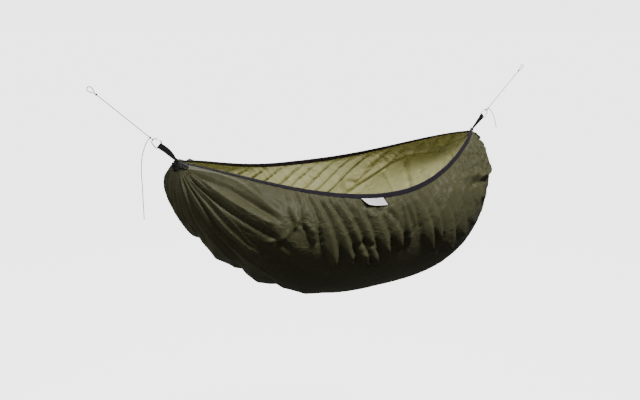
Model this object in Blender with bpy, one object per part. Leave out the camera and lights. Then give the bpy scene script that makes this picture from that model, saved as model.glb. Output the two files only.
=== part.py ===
# Insulated camp hammock hung by its two ends, in metres, +Z up.
# The origin is the bearing point of the left anchor loop. +X runs along the hammock to the right
# anchor loop, and -Y is the near side, which carries the label.
# The pouch is worked out about its own middle, at the level of its two necks, and then moved by
# SHIFT so that the left bearing point becomes the origin.
import math

import bpy
import numpy as np

# Pouch, from the middle of the hammock at neck level
NECK_HALF_SPAN = 0.750      # half the distance between the two gathered necks
HEM_HALF_WIDTH = 0.377      # half the mouth's width in the middle
HEM_PLAN = (1.468, 0.878)   # how the mouth's outline closes towards a neck
HEM_ROUNDING = 0.22         # rounds the mouth's outline where it is widest
HEM_SAG = 0.140             # how far the hem drops below the necks
HEM_SAG_SHAPE = (2.064, 1.422)
BELLY_HALF_WIDTH = 0.410    # the pouch is widest below its hem
POUCH_DEPTH = 0.656         # keel below neck level
# Keel from a neck to the middle: how far past the neck it bulges and how fast it drops
LEFT_KEEL = ((0.128, 0.174), (-0.123, 0.465), 0.370)
RIGHT_KEEL = ((0.141, 0.161), (-0.197, 0.648), 0.473)

# Layers of the quilted wall
CLEARANCE = 0.0003
SHELL_WALL = 0.0012
LINING_WALL = 0.0012
LOFT = 0.030                # insulation at the middle of a quilted panel
SEAM_LOFT = 0.0020          # insulation pressed flat at a seam
LOFT_EDGE_SHARE = 0.28      # share of each side over which the insulation thins towards the hem
LOFT_ROOM_SHARE = 0.42      # the insulation fills no more than this share of the mouth's half
SEAM_STATIONS = (-0.90, -0.52, -0.17, 0.17, 0.52, 0.90)
SEAM_HALF_GAP = 0.002       # in stations
STATIONS_PER_PANEL = 4
END_STATIONS = (0.940, 0.972)
HEM_MARGIN = 0.014          # the insulation ends this far below the hem
ROWS_ACROSS = 16

# Folds of the loose outer cloth. They only stand out from the wall, so the layers below keep
# their room.
# Gathered folds hang from the two hems. Each has its crest at a share of the way between two
# stations, with a long rise on its left and a short fall on its right, and its own height.
FOLD_SHAPES = ((0.66, 0.018), (0.72, 0.013), (0.62, 0.017), (0.70, 0.012))
FOLD_SLANT = 0.12           # share of the way by which a crest moves right on its way down
FOLD_PANELS = (1, 2, 3)     # the gathered panels, counted from 0 at the left
FOLD_FADE = (0.42, 0.62)    # across the pouch, from where they vanish to where they are full
FOLD_START = (-0.55, -0.33) # the same along the pouch, as the cloth beside the left neck is smooth
FOLD_LEAST = 0.0004         # a crest's height where it starts in the binding and where it ends
LIP_HEIGHT = 0.012          # the gathered cloth hangs out over the tight belly below it
LIP_RISE = (0.80, 0.66)     # across the pouch, from where the lip starts to where it is full
LIP_FALL = (0.62, 0.45)     # and from where it turns in to where it has ended
LIP_STATIONS = (0.45, 0.75) # towards a neck it starts to fade at the first and ends at the second
FAN_HEIGHTS = (0.018, 0.013)    # long folds that fan out of the left and of the right neck
FAN_FADES = ((0.42, 0.62), (0.52, 0.72))    # stations where these vanish and where they are full
FAN_NECK_FADE = 0.35        # in stations, over which they grow from the last seam on
FAN_SMOOTH_EDGE = (0.75, 0.95)  # the cloth beside the hem stays smooth, in the same terms

# Edge binding with its elastic
BINDING_WALL = 0.0010
BINDING_LEG = 0.009
BINDING_SHOULDER = 0.0008   # how far the fold's sides start below its ridge
BINDING_EASE = 0.0008       # between the folded tape and the cloth edges inside it
ELASTIC_RADIUS = 0.0015
BINDING_END_STATION = 0.93

# Gathered neck
SUSPENSION_ANGLE = math.radians(44.7)
WAIST_RADIUS = 0.0050
WAIST_MARGIN = 0.0010       # of the waist on the wrap's pouch side
CASING_WALL = 0.0008
CASING_PLEATS = 9
CASING_SHARE = 0.94         # how far round the neck the casing reaches
CASING_LIP_LENGTH = 0.018
CASING_LIP_FLARE = 1.35     # the lip's radius over the waist's
CASING_STATIONS = (0.972, 0.950, 0.925)
PLEAT_DEPTHS = (0.0015, 0.0035, 0.0060)
CASING_STAND_OFF = 0.0007
WRAP_CORD = 0.0020
WRAP_TURNS = 3
WRAP_STEPS = 10             # points in each turn
WRAP_START = 0.0085
WRAP_PITCH = 0.0024

# Webbing strap and hook
STRAP_LENGTH = 0.105        # from the neck to the middle of the hook's base bar
STRAP_WIDTH = 0.024
STRAP_NECK_WIDTH = 0.0084
STRAP_THICKNESS = 0.0014
STRAP_START = 0.009
STRAP_PLY_GAP = 0.0004
STRAP_SPREAD = 0.024        # length over which the plies open round the bar
LEFT_STRAP_TAPER = 3.2      # stays wide and narrows late
RIGHT_STRAP_TAPER = 1.0     # narrows evenly
STRAP_FULL_SHARE = 0.9      # share of the free strap over which it spreads to its full width
STRAP_BOW = 0.004
HOOK_ROD_RADIUS = 0.0020
HOOK_HALF_WIDTH = 0.0160
HOOK_LENGTH = 0.036
HOOK_CORNER = 0.0036
HOOK_TOP_RADIUS = 0.0130
HOOK_NOSE_DROP = 0.0110     # the nose ends this far below the top of the hook
GATE_PIVOT_HEIGHT = 0.0085
GATE_LUG_LENGTH = 0.0030
GATE_WIRE_RADIUS = 0.0007
GATE_END_GAP = 0.0012       # between the two wire ends inside the pivot hole
GATE_NOSE_OVERLAP = 0.0020  # the gate reaches this far past the end of the nose

# Cords and knots
CORD_ANGLE = math.radians(42.6)
CORD_DIAMETER = 0.003
CORD_LENGTH = 0.250         # straight run between a hitch knot and an anchor knot
HITCH_KNOT_RADIUS = 0.0042
ANCHOR_KNOT_RADIUS = 0.0045
TAIL_KNOT_RADIUS = 0.0026
LOOP_LENGTH = 0.038         # from the middle of an anchor knot to the bearing point
LOOP_HALF_WIDTH = 0.009
# Free cord ends, measured from the hitch knot they come out of
LEFT_TAIL = ((-0.0080, -0.002, -0.0040), (-0.0230, -0.004, -0.0270), (-0.0370, -0.006, -0.0640),
             (-0.0440, -0.008, -0.1030), (-0.0460, -0.009, -0.1420), (-0.0455, -0.010, -0.1780),
             (-0.0465, -0.011, -0.2260), (-0.0470, -0.012, -0.3090))
RIGHT_TAIL = ((0.0110, -0.002, -0.0060), (0.0290, -0.004, -0.0280), (0.0440, -0.006, -0.0600),
              (0.0540, -0.008, -0.0950))

# Label sewn under the near binding
LABEL_LENGTH = 0.088
LABEL_HEIGHT = 0.033
LABEL_THICKNESS = 0.0008
LABEL_MIDDLE = -0.066
LABEL_STAND_OFF = 0.0010

NEAR, FAR = -1.0, 1.0
LEFT, RIGHT = -1.0, 1.0


def clear_scene():
    for thing in list(bpy.data.objects):
        bpy.data.objects.remove(thing, do_unlink=True)


def make_material(name, colour, roughness, metallic=0.0):
    mat = bpy.data.materials.new(name)
    mat.use_nodes = True
    shader = mat.node_tree.nodes["Principled BSDF"]
    shader.inputs["Base Color"].default_value = (*colour, 1.0)
    shader.inputs["Roughness"].default_value = roughness
    shader.inputs["Metallic"].default_value = metallic
    return mat


def smooth_step(value):
    value = np.clip(value, 0.0, 1.0)
    return value * value * (3.0 - 2.0 * value)


# Pouch surface. A station runs from -1 at the left neck over 0 in the middle to 1 at the right
# neck, and across runs from -1 at the near hem over 0 at the keel to 1 at the far hem.

def hem_at(station):
    along = NECK_HALF_SPAN * np.sin(0.5 * math.pi * station)
    share = np.abs(along / NECK_HALF_SPAN)
    rounded = np.sqrt((share ** 2 + HEM_ROUNDING ** 2) / (1 + HEM_ROUNDING ** 2))
    open_share = (1 - rounded ** HEM_PLAN[0]) / (1 - HEM_ROUNDING ** HEM_PLAN[0])
    half_width = HEM_HALF_WIDTH * np.clip(open_share, 0, 1) ** HEM_PLAN[1]
    height = -HEM_SAG * np.clip(1 - share ** HEM_SAG_SHAPE[0], 0, 1) ** HEM_SAG_SHAPE[1]
    return along, half_width, height


def keel_side(from_neck, keel):
    (out_1, drop_1), (out_2, drop_2), flat = keel
    points = ((NECK_HALF_SPAN, 0.0), (NECK_HALF_SPAN + out_1, -drop_1),
              (NECK_HALF_SPAN + out_2, -drop_2), (flat, -POUCH_DEPTH), (0.0, -POUCH_DEPTH))
    along = np.zeros_like(from_neck)
    height = np.zeros_like(from_neck)
    for index, (x, z) in enumerate(points):
        weight = math.comb(4, index) * (1 - from_neck) ** (4 - index) * from_neck ** index
        along = along + weight * x
        height = height + weight * z
    return along, height


def keel_at(station):
    from_neck = 1.0 - np.abs(station)
    left_x, left_z = keel_side(from_neck, LEFT_KEEL)
    right_x, right_z = keel_side(from_neck, RIGHT_KEEL)
    on_left = station < 0
    return np.where(on_left, -left_x, right_x), np.where(on_left, left_z, right_z)


def pouch_point(station, across):
    # Each section is an ellipse arc that starts and ends at the two hems and hangs to the keel.
    station, across = np.broadcast_arrays(np.asarray(station, float), np.asarray(across, float))
    hem_x, hem_y, hem_z = hem_at(station)
    keel_x, keel_z = keel_at(station)
    belly = BELLY_HALF_WIDTH * (1.0 - station ** 2)
    belly = np.maximum(belly, hem_y * 1.02 + 1e-4)
    start = np.arccos(np.clip(hem_y / belly, 0, 1))
    turn = 0.5 * math.pi + across * (0.5 * math.pi + start)
    half_height = (hem_z - keel_z) / (1 + np.sin(start))
    drop = (np.sin(turn) + np.sin(start)) / (1 + np.sin(start))
    x = hem_x + (keel_x - hem_x) * np.sin(0.5 * math.pi * drop)
    y = -belly * np.cos(turn)
    z = keel_z + half_height * (1 - np.sin(turn))
    return np.stack([x, y, z], axis=-1)


def pouch_normal(station, across):
    step = 1e-4
    along = pouch_point(station + step, across) - pouch_point(station - step, across)
    over = pouch_point(station, across + step) - pouch_point(station, across - step)
    normal = np.cross(along, over)
    normal /= np.linalg.norm(normal, axis=-1, keepdims=True)
    return -normal


def across_at(station, distance):
    # How far across lies a row that runs this far below the hem, along the cloth.
    fine = np.linspace(1.0, 0.0, 201)
    points = pouch_point(np.full(fine.shape, station), fine)
    run = np.concatenate([[0.0], np.cumsum(np.linalg.norm(np.diff(points, axis=0), axis=1))])
    return np.interp(distance, run, fine)


def label_span():
    # The label's middle and half its length, in stations.
    station = math.asin(LABEL_MIDDLE / NECK_HALF_SPAN) * 2 / math.pi
    return station, LABEL_LENGTH / 2 / (NECK_HALF_SPAN * math.pi / 2)


def panel_stations():
    stations = []
    for start, end in zip(SEAM_STATIONS[:-1], SEAM_STATIONS[1:]):
        stations.append(np.linspace(start + SEAM_HALF_GAP, end - SEAM_HALF_GAP,
                                    STATIONS_PER_PANEL + 1))
    return stations


def cloth_stations():
    ends = np.array(END_STATIONS)
    return np.concatenate([-ends[::-1], *panel_stations(), ends])


def cloth_rows(station):
    # Rows across one section: the hem, the binding's lower edge, the insulation's edge, and
    # evenly on to the keel.
    inner = across_at(station, HEM_MARGIN)
    edge = [1.0, float(across_at(station, BINDING_LEG))]
    middle = np.linspace(inner, -inner, ROWS_ACROSS + 1)
    half = np.concatenate([edge, middle, -np.array(edge[::-1])])
    return -half


def cloth_grid(stations):
    rows = np.array([cloth_rows(station) for station in stations])
    return np.repeat(stations[:, None], rows.shape[1], axis=1), rows


def loft_at(stations, rows):
    # Space between shell and lining. It is closed at the hem and at the gathered ends, thin at
    # the seams and full in the middle of each panel.
    inner = np.abs(rows[:, 2])[:, None]
    inside = np.abs(rows) <= inner + 1e-9
    puff = np.zeros_like(stations)
    for start, end in zip(SEAM_STATIONS[:-1], SEAM_STATIONS[1:]):
        share = np.clip((stations - start) / (end - start), 0, 1)
        puff = np.maximum(puff, np.sqrt(np.sin(math.pi * share)))
    in_panel = np.abs(stations) <= SEAM_STATIONS[-1]
    side = smooth_step((inner - np.abs(rows)) / (LOFT_EDGE_SHARE * inner))
    full = np.clip(LOFT_ROOM_SHARE * hem_at(stations)[1], SEAM_LOFT, LOFT)
    pad = SEAM_LOFT + (full - SEAM_LOFT) * puff * side
    open_space = pad + 2 * CLEARANCE
    return np.where(inside & in_panel, open_space, CLEARANCE)


def fold_places(columns):
    # Where the outer cloth is shaped: at each station and on the crest of each gathered fold. A
    # place counts stations, so 7.4 lies 0.4 of the way from station 7 to station 8.
    crests = []
    for panel in FOLD_PANELS:
        start = len(END_STATIONS) + panel * (STATIONS_PER_PANEL + 1)
        crests += [start + step + FOLD_SHAPES[step % len(FOLD_SHAPES)][0]
                   for step in range(STATIONS_PER_PANEL)]
    places = np.sort(np.concatenate([np.arange(len(cloth_stations())), crests]))[:, None]
    from_hem = 1 - np.abs(np.linspace(-1, 1, columns))
    return places + FOLD_SLANT * smooth_step(2 * from_hem) * (places % 1 > 0)


def between(grid, places):
    # Values of a grid at these places, on the straight line between two stations of each row.
    before = np.minimum(places.astype(int), len(grid) - 2)
    columns = np.arange(places.shape[1])
    share = (places - before).reshape(*places.shape, *[1] * (grid.ndim - 2))
    return grid[before, columns] * (1 - share) + grid[before + 1, columns] * share


def gathered_height(places, rows):
    # The crests between two stations rise below the hem and sink towards the keel.
    on_crest = places % 1 > 0
    first = places[:, :1].astype(int) - len(END_STATIONS)
    heights = np.array([height for _, height in FOLD_SHAPES])
    height = heights[first % (STATIONS_PER_PANEL + 1) % len(heights)] * on_crest
    height = height * (np.abs(rows) < np.abs(rows[:, 2])[:, None] - 1e-9)
    low, full = FOLD_FADE
    height = height * smooth_step((np.abs(rows) - low) / (full - low))
    cloth = cloth_stations()
    low, full = FOLD_START
    stations = np.interp(places, np.arange(len(cloth)), cloth)
    height = height * smooth_step((stations - low) / (full - low))
    # The cloth stays flat under the label, as far as the next row below it.
    before = np.minimum(places.astype(int), len(cloth) - 2)
    label_station, label_half = label_span()
    meets_label = ((cloth[before + 1] > label_station - label_half)
                   & (cloth[before] < label_station + label_half))
    label_low = across_at(label_station, BINDING_LEG + CLEARANCE + LABEL_HEIGHT)
    under_label = (np.roll(rows, 1, axis=1) < -label_low) & meets_label
    height = np.where(under_label, 0.0, height)
    return np.maximum(height, FOLD_LEAST * on_crest)


def lip_height(stations, rows):
    # The wall stands out most where the gathered cloth ends.
    from_keel = np.abs(rows)
    rise = smooth_step((LIP_RISE[0] - from_keel) / (LIP_RISE[0] - LIP_RISE[1]))
    fall = smooth_step((from_keel - LIP_FALL[1]) / (LIP_FALL[0] - LIP_FALL[1]))
    start, end = LIP_STATIONS
    return LIP_HEIGHT * rise * fall * (1 - smooth_step((np.abs(stations) - start) / (end - start)))


def fan_height(stations, rows):
    # Every other row rises towards a neck.
    on_left = stations < 0
    height = np.where(on_left, *FAN_HEIGHTS)
    start, full = (np.where(on_left, *ends) for ends in zip(*FAN_FADES))
    fade = smooth_step((np.abs(stations) - start) / (full - start))
    last_seam = SEAM_STATIONS[-1] - SEAM_HALF_GAP
    fade = fade * smooth_step((last_seam - np.abs(stations)) / FAN_NECK_FADE)
    smooth, edge = FAN_SMOOTH_EDGE
    fade = fade * (1 - smooth_step((np.abs(rows) - smooth) / (edge - smooth)))
    from_keel = np.abs(np.arange(rows.shape[1]) - rows.shape[1] // 2)
    return height * fade * (from_keel % 2)


# Mesh building

def signed_volume(points, faces):
    a, b, c = (points[faces[:, k]] for k in range(3))
    return float(np.einsum("ij,ij->i", a, np.cross(b, c)).sum() / 6)


def grid_triangles(rows, columns, wrap_rows=False, wrap_columns=False):
    i = np.arange(rows if wrap_rows else rows - 1)
    j = np.arange(columns if wrap_columns else columns - 1)
    i, j = (part.ravel() for part in np.meshgrid(i, j, indexing="ij"))
    i2, j2 = (i + 1) % rows, (j + 1) % columns
    a, b, c, d = (p * columns + q for p, q in ((i, j), (i2, j), (i2, j2), (i, j2)))
    return np.concatenate([np.stack([a, b, c], 1), np.stack([a, c, d], 1)])


def cap_ends(points, faces, rings, sides, ends):
    # Fans that close the first and the last ring of a round body.
    first = np.arange(sides)
    last = first + (rings - 1) * sides
    caps = [np.stack([np.full(sides, len(points)), first, np.roll(first, -1)], 1),
            np.stack([np.full(sides, len(points) + 1), np.roll(last, -1), last], 1)]
    points = np.concatenate([points, ends])
    faces = np.concatenate([faces, *caps])
    return points, faces


def face_out(points, faces):
    return points, (faces[:, ::-1] if signed_volume(points, faces) < 0 else faces)


def slab(outer, inner):
    # A closed sheet between two grids of the same size, with its four rims.
    rows, columns = outer.shape[:2]
    count = rows * columns
    points = np.concatenate([outer.reshape(-1, 3), inner.reshape(-1, 3)])
    skin = grid_triangles(rows, columns)
    index = np.arange(count).reshape(rows, columns)
    border = np.concatenate([index[0, :-1], index[:-1, -1], index[-1, :0:-1], index[:0:-1, 0]])
    following = np.roll(border, -1)
    rim = np.concatenate([np.stack([border, following, following + count], 1),
                          np.stack([border, following + count, border + count], 1)])
    return face_out(points, np.concatenate([skin, skin[:, ::-1] + count, rim]))


def tube(path, radius, sides, closed=False):
    # A round profile carried along a path without twisting, closed by caps unless it is a ring.
    path = np.asarray(path, float)
    ahead = np.roll(path, -1, 0) - path
    if closed:
        tangent = ahead + np.roll(ahead, 1, 0)
    else:
        tangent = np.empty_like(path)
        tangent[1:-1] = path[2:] - path[:-2]
        tangent[0], tangent[-1] = path[1] - path[0], path[-1] - path[-2]
    tangent /= np.linalg.norm(tangent, axis=1, keepdims=True)
    normal = np.cross(tangent[0], (0.0, 1.0, 0.0))
    if np.linalg.norm(normal) < 1e-3:
        normal = np.cross(tangent[0], (1.0, 0.0, 0.0))
    normals = []
    for direction in tangent:
        normal = normal - direction * (normal @ direction)
        normal = normal / np.linalg.norm(normal)
        normals.append(normal)
    normals = np.array(normals)
    sideways = np.cross(tangent, normals)
    turn = 2 * math.pi * np.arange(sides) / sides
    ring = (np.cos(turn)[None, :, None] * normals[:, None]
            + np.sin(turn)[None, :, None] * sideways[:, None])
    points = (path[:, None] + radius * ring).reshape(-1, 3)
    faces = grid_triangles(len(path), sides, wrap_rows=closed, wrap_columns=True)
    if not closed:
        points, faces = cap_ends(points, faces, len(path), sides, path[[0, -1]])
    return face_out(points, faces)


def turned(profile, centre, axis, sides):
    # A closed turned body. The profile gives (along the axis, radius) from one pole to the other.
    axis = np.asarray(axis, float) / np.linalg.norm(axis)
    first = np.cross(axis, (0.0, 1.0, 0.0))
    first /= np.linalg.norm(first)
    second = np.cross(axis, first)
    turn = 2 * math.pi * np.arange(sides) / sides
    ring = np.cos(turn)[:, None] * first + np.sin(turn)[:, None] * second
    body = profile[1:-1]
    points = np.concatenate([centre + along * axis + radius * ring for along, radius in body])
    faces = grid_triangles(len(body), sides, wrap_columns=True)
    poles = np.array([centre + profile[0][0] * axis, centre + profile[-1][0] * axis])
    return face_out(*cap_ends(points, faces, len(body), sides, poles))


def smooth_path(points, spacing):
    # A curve through the chosen points, read at even steps.
    points = np.asarray(points, float)
    padded = np.vstack([2 * points[0] - points[1], points, 2 * points[-1] - points[-2]])
    share = np.linspace(0, 1, 24, endpoint=False)[:, None]
    fine = []
    for a, b, c, d in zip(padded[:-3], padded[1:-2], padded[2:-1], padded[3:]):
        fine.append(0.5 * (2 * b + (c - a) * share + (2 * a - 5 * b + 4 * c - d) * share ** 2
                           + (3 * b - a - 3 * c + d) * share ** 3))
    fine = np.vstack([*fine, points[-1:]])
    run = np.concatenate([[0.0], np.cumsum(np.linalg.norm(np.diff(fine, axis=0), axis=1))])
    even = np.linspace(0, run[-1], max(3, round(run[-1] / spacing) + 1))
    return np.stack([np.interp(even, run, fine[:, k]) for k in range(3)], 1)


# Frames along the suspension. The two ends are mirror images of each other.

def outward(side, angle):
    return np.array([side * math.cos(angle), 0.0, math.sin(angle)])


def neck_point(side):
    return np.array([side * NECK_HALF_SPAN, 0.0, 0.0])


def end_frame(side):
    # Along the strap away from the pouch, across the strap's width on its upper side, and near.
    along = outward(side, SUSPENSION_ANGLE)
    width = np.array([-side * math.sin(SUSPENSION_ANGLE), 0.0, math.cos(SUSPENSION_ANGLE)])
    return along, width


def place(side, along, width, near=0.0):
    # Points measured from the neck in the frame of one end.
    ahead, wide = end_frame(side)
    along, width, near = np.broadcast_arrays(along, width, near)
    flat = neck_point(side) + along[..., None] * ahead + width[..., None] * wide
    return flat + near[..., None] * np.array([0.0, 1.0, 0.0])


HITCH_RING_RADIUS = HOOK_ROD_RADIUS + CORD_DIAMETER / 2 + CLEARANCE
HITCH_KNOT_AT = (STRAP_LENGTH + HOOK_LENGTH + HITCH_RING_RADIUS + CORD_DIAMETER / 2
                 + CLEARANCE + HITCH_KNOT_RADIUS)


def hitch_centre(side):
    return place(side, HITCH_KNOT_AT, 0.0)


def anchor_centre(side):
    reach = HITCH_KNOT_RADIUS + CORD_LENGTH + ANCHOR_KNOT_RADIUS + 2 * CLEARANCE
    return hitch_centre(side) + reach * outward(side, CORD_ANGLE)


def bearing_point(side):
    return anchor_centre(side) + LOOP_LENGTH * outward(side, CORD_ANGLE)


SHIFT = -bearing_point(LEFT)


# Objects

def add_mesh(name, body, mat, axis=None):
    # axis is an empty and the pouch-frame point it stands on; without it the piece is fixed.
    points, faces = body
    parent, centre = axis if axis else (None, -SHIFT)
    mesh = bpy.data.meshes.new(name)
    mesh.from_pydata((points - centre).tolist(), [], faces.tolist())
    mesh.update()
    mesh.materials.append(mat)
    mesh.polygons.foreach_set("use_smooth", [True] * len(mesh.polygons))
    mesh.set_sharp_from_angle(angle=math.radians(40))
    thing = bpy.data.objects.new(name, mesh)
    thing.parent = parent
    bpy.context.scene.collection.objects.link(thing)
    return thing


def add_cord(name, path, mat, axis):
    parent, centre = axis
    curve = bpy.data.curves.new(name, "CURVE")
    curve.dimensions = "3D"
    curve.bevel_depth = CORD_DIAMETER / 2
    curve.bevel_resolution = 2
    curve.use_fill_caps = True
    spline = curve.splines.new("POLY")
    spline.points.add(len(path) - 1)
    for point, place_at in zip(spline.points, path - centre):
        point.co = (*place_at, 1.0)
    curve.materials.append(mat)
    thing = bpy.data.objects.new(name, curve)
    thing.parent = parent
    bpy.context.scene.collection.objects.link(thing)
    return thing


def add_axis(name, centre, axis=None):
    parent, parent_centre = axis if axis else (None, -SHIFT)
    empty = bpy.data.objects.new(name, None)
    empty.empty_display_size = 0.02
    empty.parent = parent
    empty.location = centre - parent_centre
    bpy.context.scene.collection.objects.link(empty)
    return empty, centre


# Quilted pouch

def build_pouch(mats, axis):
    stations, rows = cloth_grid(cloth_stations())
    surface = pouch_point(stations, rows)
    normal = pouch_normal(stations, rows)
    loft = loft_at(stations, rows)[..., None]
    places = fold_places(rows.shape[1])
    place_stations, place_rows = between(stations, places), between(rows, places)
    fold = (gathered_height(places, place_rows) + lip_height(place_stations, place_rows)
            + fan_height(place_stations, place_rows))[..., None]
    flat, out = between(surface, places), between(normal, places)
    add_mesh("outer_shell", slab(flat + fold * out, flat + (fold - SHELL_WALL) * out),
             mats["shell"], axis)
    lining_top = SHELL_WALL + loft
    add_mesh("inner_lining",
             slab(surface - lining_top * normal, surface - (lining_top + LINING_WALL) * normal),
             mats["lining"], axis)
    first = len(END_STATIONS)
    for number in range(len(SEAM_STATIONS) - 1):
        start = first + number * (STATIONS_PER_PANEL + 1)
        pick = (slice(start, start + STATIONS_PER_PANEL + 1), slice(2, -2))
        outer = surface[pick] - (SHELL_WALL + CLEARANCE) * normal[pick]
        inner = surface[pick] - (SHELL_WALL + loft[pick] - CLEARANCE) * normal[pick]
        add_mesh(f"insulation_panel_{number + 1}", slab(outer, inner), mats["insulation"], axis)


def hem_frames(stations, side):
    # The hem, the rows that the binding's legs reach, and the way out of the cloth at each.
    leg = np.array([across_at(station, BINDING_LEG) for station in stations])
    hem = pouch_point(stations, side)
    low = pouch_point(stations, side * leg)
    up = hem - pouch_point(stations, side * 0.998)
    tangent = np.gradient(hem, axis=0)
    up -= tangent * (up * tangent).sum(1, keepdims=True) / (tangent ** 2).sum(1, keepdims=True)
    up /= np.linalg.norm(up, axis=1, keepdims=True)
    return hem, low, up, pouch_normal(stations, side), pouch_normal(stations, side * leg)


def build_edges(mats, axis):
    stations = cloth_stations()
    stations = stations[np.abs(stations) < BINDING_END_STATION]
    cloth = SHELL_WALL + CLEARANCE + LINING_WALL
    slot = cloth / 2 + BINDING_EASE
    wall = slot + BINDING_WALL
    elastic_up = ELASTIC_RADIUS + CLEARANCE
    slot_top = elastic_up + ELASTIC_RADIUS + CLEARANCE
    for name, side in (("near", NEAR), ("far", FAR)):
        hem, low, up, hem_normal, low_normal = hem_frames(stations, side)
        middle = hem - 0.5 * cloth * hem_normal
        low_middle = low - 0.5 * cloth * low_normal

        def path(half, top, shoulder):
            rows = [low_middle + half * low_normal, middle + half * hem_normal]
            rows.append(middle + half * hem_normal + (top - shoulder) * up)
            rows.append(middle + top * up)
            rows.append(middle - half * hem_normal + (top - shoulder) * up)
            rows += [middle - half * hem_normal, low_middle - half * low_normal]
            return np.stack(rows, 1)

        outer = path(wall, slot_top + BINDING_WALL, BINDING_SHOULDER)
        inner = path(slot, slot_top, BINDING_SHOULDER)
        add_mesh(f"{name}_edge_binding", slab(outer, inner), mats["binding"], axis)
        add_mesh(f"{name}_edge_elastic", tube(middle + elastic_up * up, ELASTIC_RADIUS, 5),
                 mats["cord"], axis)


def build_label(mats, axis):
    station, half = label_span()
    stations = np.linspace(station - half, station + half, 7)
    start = BINDING_LEG + CLEARANCE
    distances = np.linspace(start, start + LABEL_HEIGHT, 4)
    rows = -np.array([across_at(one, distances) for one in stations])
    grid = np.repeat(stations[:, None], len(distances), axis=1)
    surface, normal = pouch_point(grid, rows), pouch_normal(grid, rows)
    outer = surface + (LABEL_STAND_OFF + LABEL_THICKNESS) * normal
    add_mesh("care_label", slab(outer, surface + LABEL_STAND_OFF * normal), mats["label"], axis)


# Gathered necks

def neck_rings(side):
    # Rings of the end casing: a lip and a round waist under the wrap, then the flared skirt that
    # follows the pouch and folds into pleats.
    across = np.linspace(-CASING_SHARE, CASING_SHARE, 2 * CASING_PLEATS + 1)
    turn = 0.5 * math.pi + across * math.pi
    ridge = (np.arange(len(across)) % 2)[:, None]
    rings, normals = [], []
    wrap_end = WRAP_START + WRAP_TURNS * WRAP_PITCH + WRAP_CORD
    for along, radius in ((CASING_LIP_LENGTH, WAIST_RADIUS * CASING_LIP_FLARE),
                          (wrap_end, WAIST_RADIUS),
                          (WRAP_START - WAIST_MARGIN, WAIST_RADIUS)):
        round_out = place(side, 0.0, -np.sin(turn), -np.cos(turn)) - neck_point(side)
        rings.append(place(side, along, 0.0) + radius * round_out)
        normals.append(round_out)
    for station, depth in zip(CASING_STATIONS, PLEAT_DEPTHS):
        row = np.full(across.shape, side * station)
        normal = pouch_normal(row, across)
        rings.append(pouch_point(row, across) + (CASING_STAND_OFF + depth * ridge) * normal)
        normals.append(normal)
    return np.array(rings), np.array(normals)


def build_neck(name, side, mats, axis):
    rings, normals = neck_rings(side)
    add_mesh(f"{name}_end_casing", slab(rings + CASING_WALL * normals, rings),
             mats["casing"], axis)
    coil = WAIST_RADIUS + CASING_WALL + CLEARANCE + WRAP_CORD / 2
    steps = np.arange(WRAP_TURNS * WRAP_STEPS + 1) / WRAP_STEPS
    turn = 2 * math.pi * steps
    path = place(side, WRAP_START + WRAP_CORD / 2 + WRAP_PITCH * steps,
                 coil * np.cos(turn), coil * np.sin(turn))
    add_mesh(f"{name}_neck_wrap", tube(path, WRAP_CORD / 2, 6), mats["cord"], axis)


def strap_path():
    # One ply from the neck to the hook's bar, round the bar and back, as (along, near) with the
    # direction across the ply.
    bend = HOOK_ROD_RADIUS + CLEARANCE + STRAP_THICKNESS / 2
    flat = STRAP_PLY_GAP / 2 + STRAP_THICKNESS / 2
    along = np.concatenate([np.linspace(STRAP_START, STRAP_LENGTH - STRAP_SPREAD, 8),
                            STRAP_LENGTH - STRAP_SPREAD * np.array([0.75, 0.5, 0.25])])
    open_share = smooth_step((along - STRAP_LENGTH + STRAP_SPREAD) / STRAP_SPREAD)
    near = flat + (bend - flat) * open_share
    turn = np.linspace(0.5 * math.pi, -0.5 * math.pi, 9)
    along = np.concatenate([along, STRAP_LENGTH + bend * np.cos(turn), along[::-1]])
    near = np.concatenate([near, bend * np.sin(turn), -near[::-1]])
    return along, near


def build_strap(name, side, taper, bow, mats, axis):
    along, near = strap_path()
    path = np.stack([along, near], 1)
    direction = np.gradient(path, axis=0)
    direction /= np.linalg.norm(direction, axis=1, keepdims=True)
    out = np.stack([-direction[:, 1], direction[:, 0]], 1) * STRAP_THICKNESS / 2
    free = CASING_LIP_LENGTH + CLEARANCE
    share = np.clip((along - free) / (STRAP_LENGTH - free), 0, 1)
    full = np.clip(share / STRAP_FULL_SHARE, 0, 1)
    half = 0.5 * (STRAP_WIDTH - (STRAP_WIDTH - STRAP_NECK_WIDTH) * (1 - full) ** taper)
    middle = bow * np.sin(math.pi * share)
    sheets = []
    for sign in (1, -1):
        edges = [place(side, along + sign * out[:, 0], middle + edge * half,
                       near + sign * out[:, 1]) for edge in (-1, 0, 1)]
        sheets.append(np.stack(edges, 1))
    add_mesh(f"{name}_strap", slab(*sheets), mats["webbing"], axis)


# Wire-gate hook. Its flat frame has the base bar's middle at (0, 0), the top at HOOK_LENGTH and
# the gate on the upper side.

def arc(centre, radius, start, end, steps):
    turn = np.radians(np.linspace(start, end, steps))
    return np.stack([centre[0] + radius * np.cos(turn), centre[1] + radius * np.sin(turn)], 1)


def hook_outline():
    corner = HOOK_HALF_WIDTH - HOOK_CORNER
    top = HOOK_LENGTH - HOOK_TOP_RADIUS
    stub = [(GATE_PIVOT_HEIGHT + GATE_LUG_LENGTH, HOOK_HALF_WIDTH),
            (GATE_PIVOT_HEIGHT, HOOK_HALF_WIDTH)]
    bar = np.concatenate([arc((HOOK_CORNER, corner), HOOK_CORNER, 90, 180, 5),
                          arc((HOOK_CORNER, -corner), HOOK_CORNER, 180, 270, 5)])
    nose_angle = math.degrees(math.asin((HOOK_TOP_RADIUS - HOOK_NOSE_DROP) / HOOK_TOP_RADIUS))
    crook = arc((top, 0.0), HOOK_TOP_RADIUS, -90, 90 - nose_angle, 12)
    return np.concatenate([stub, bar, crook])


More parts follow.
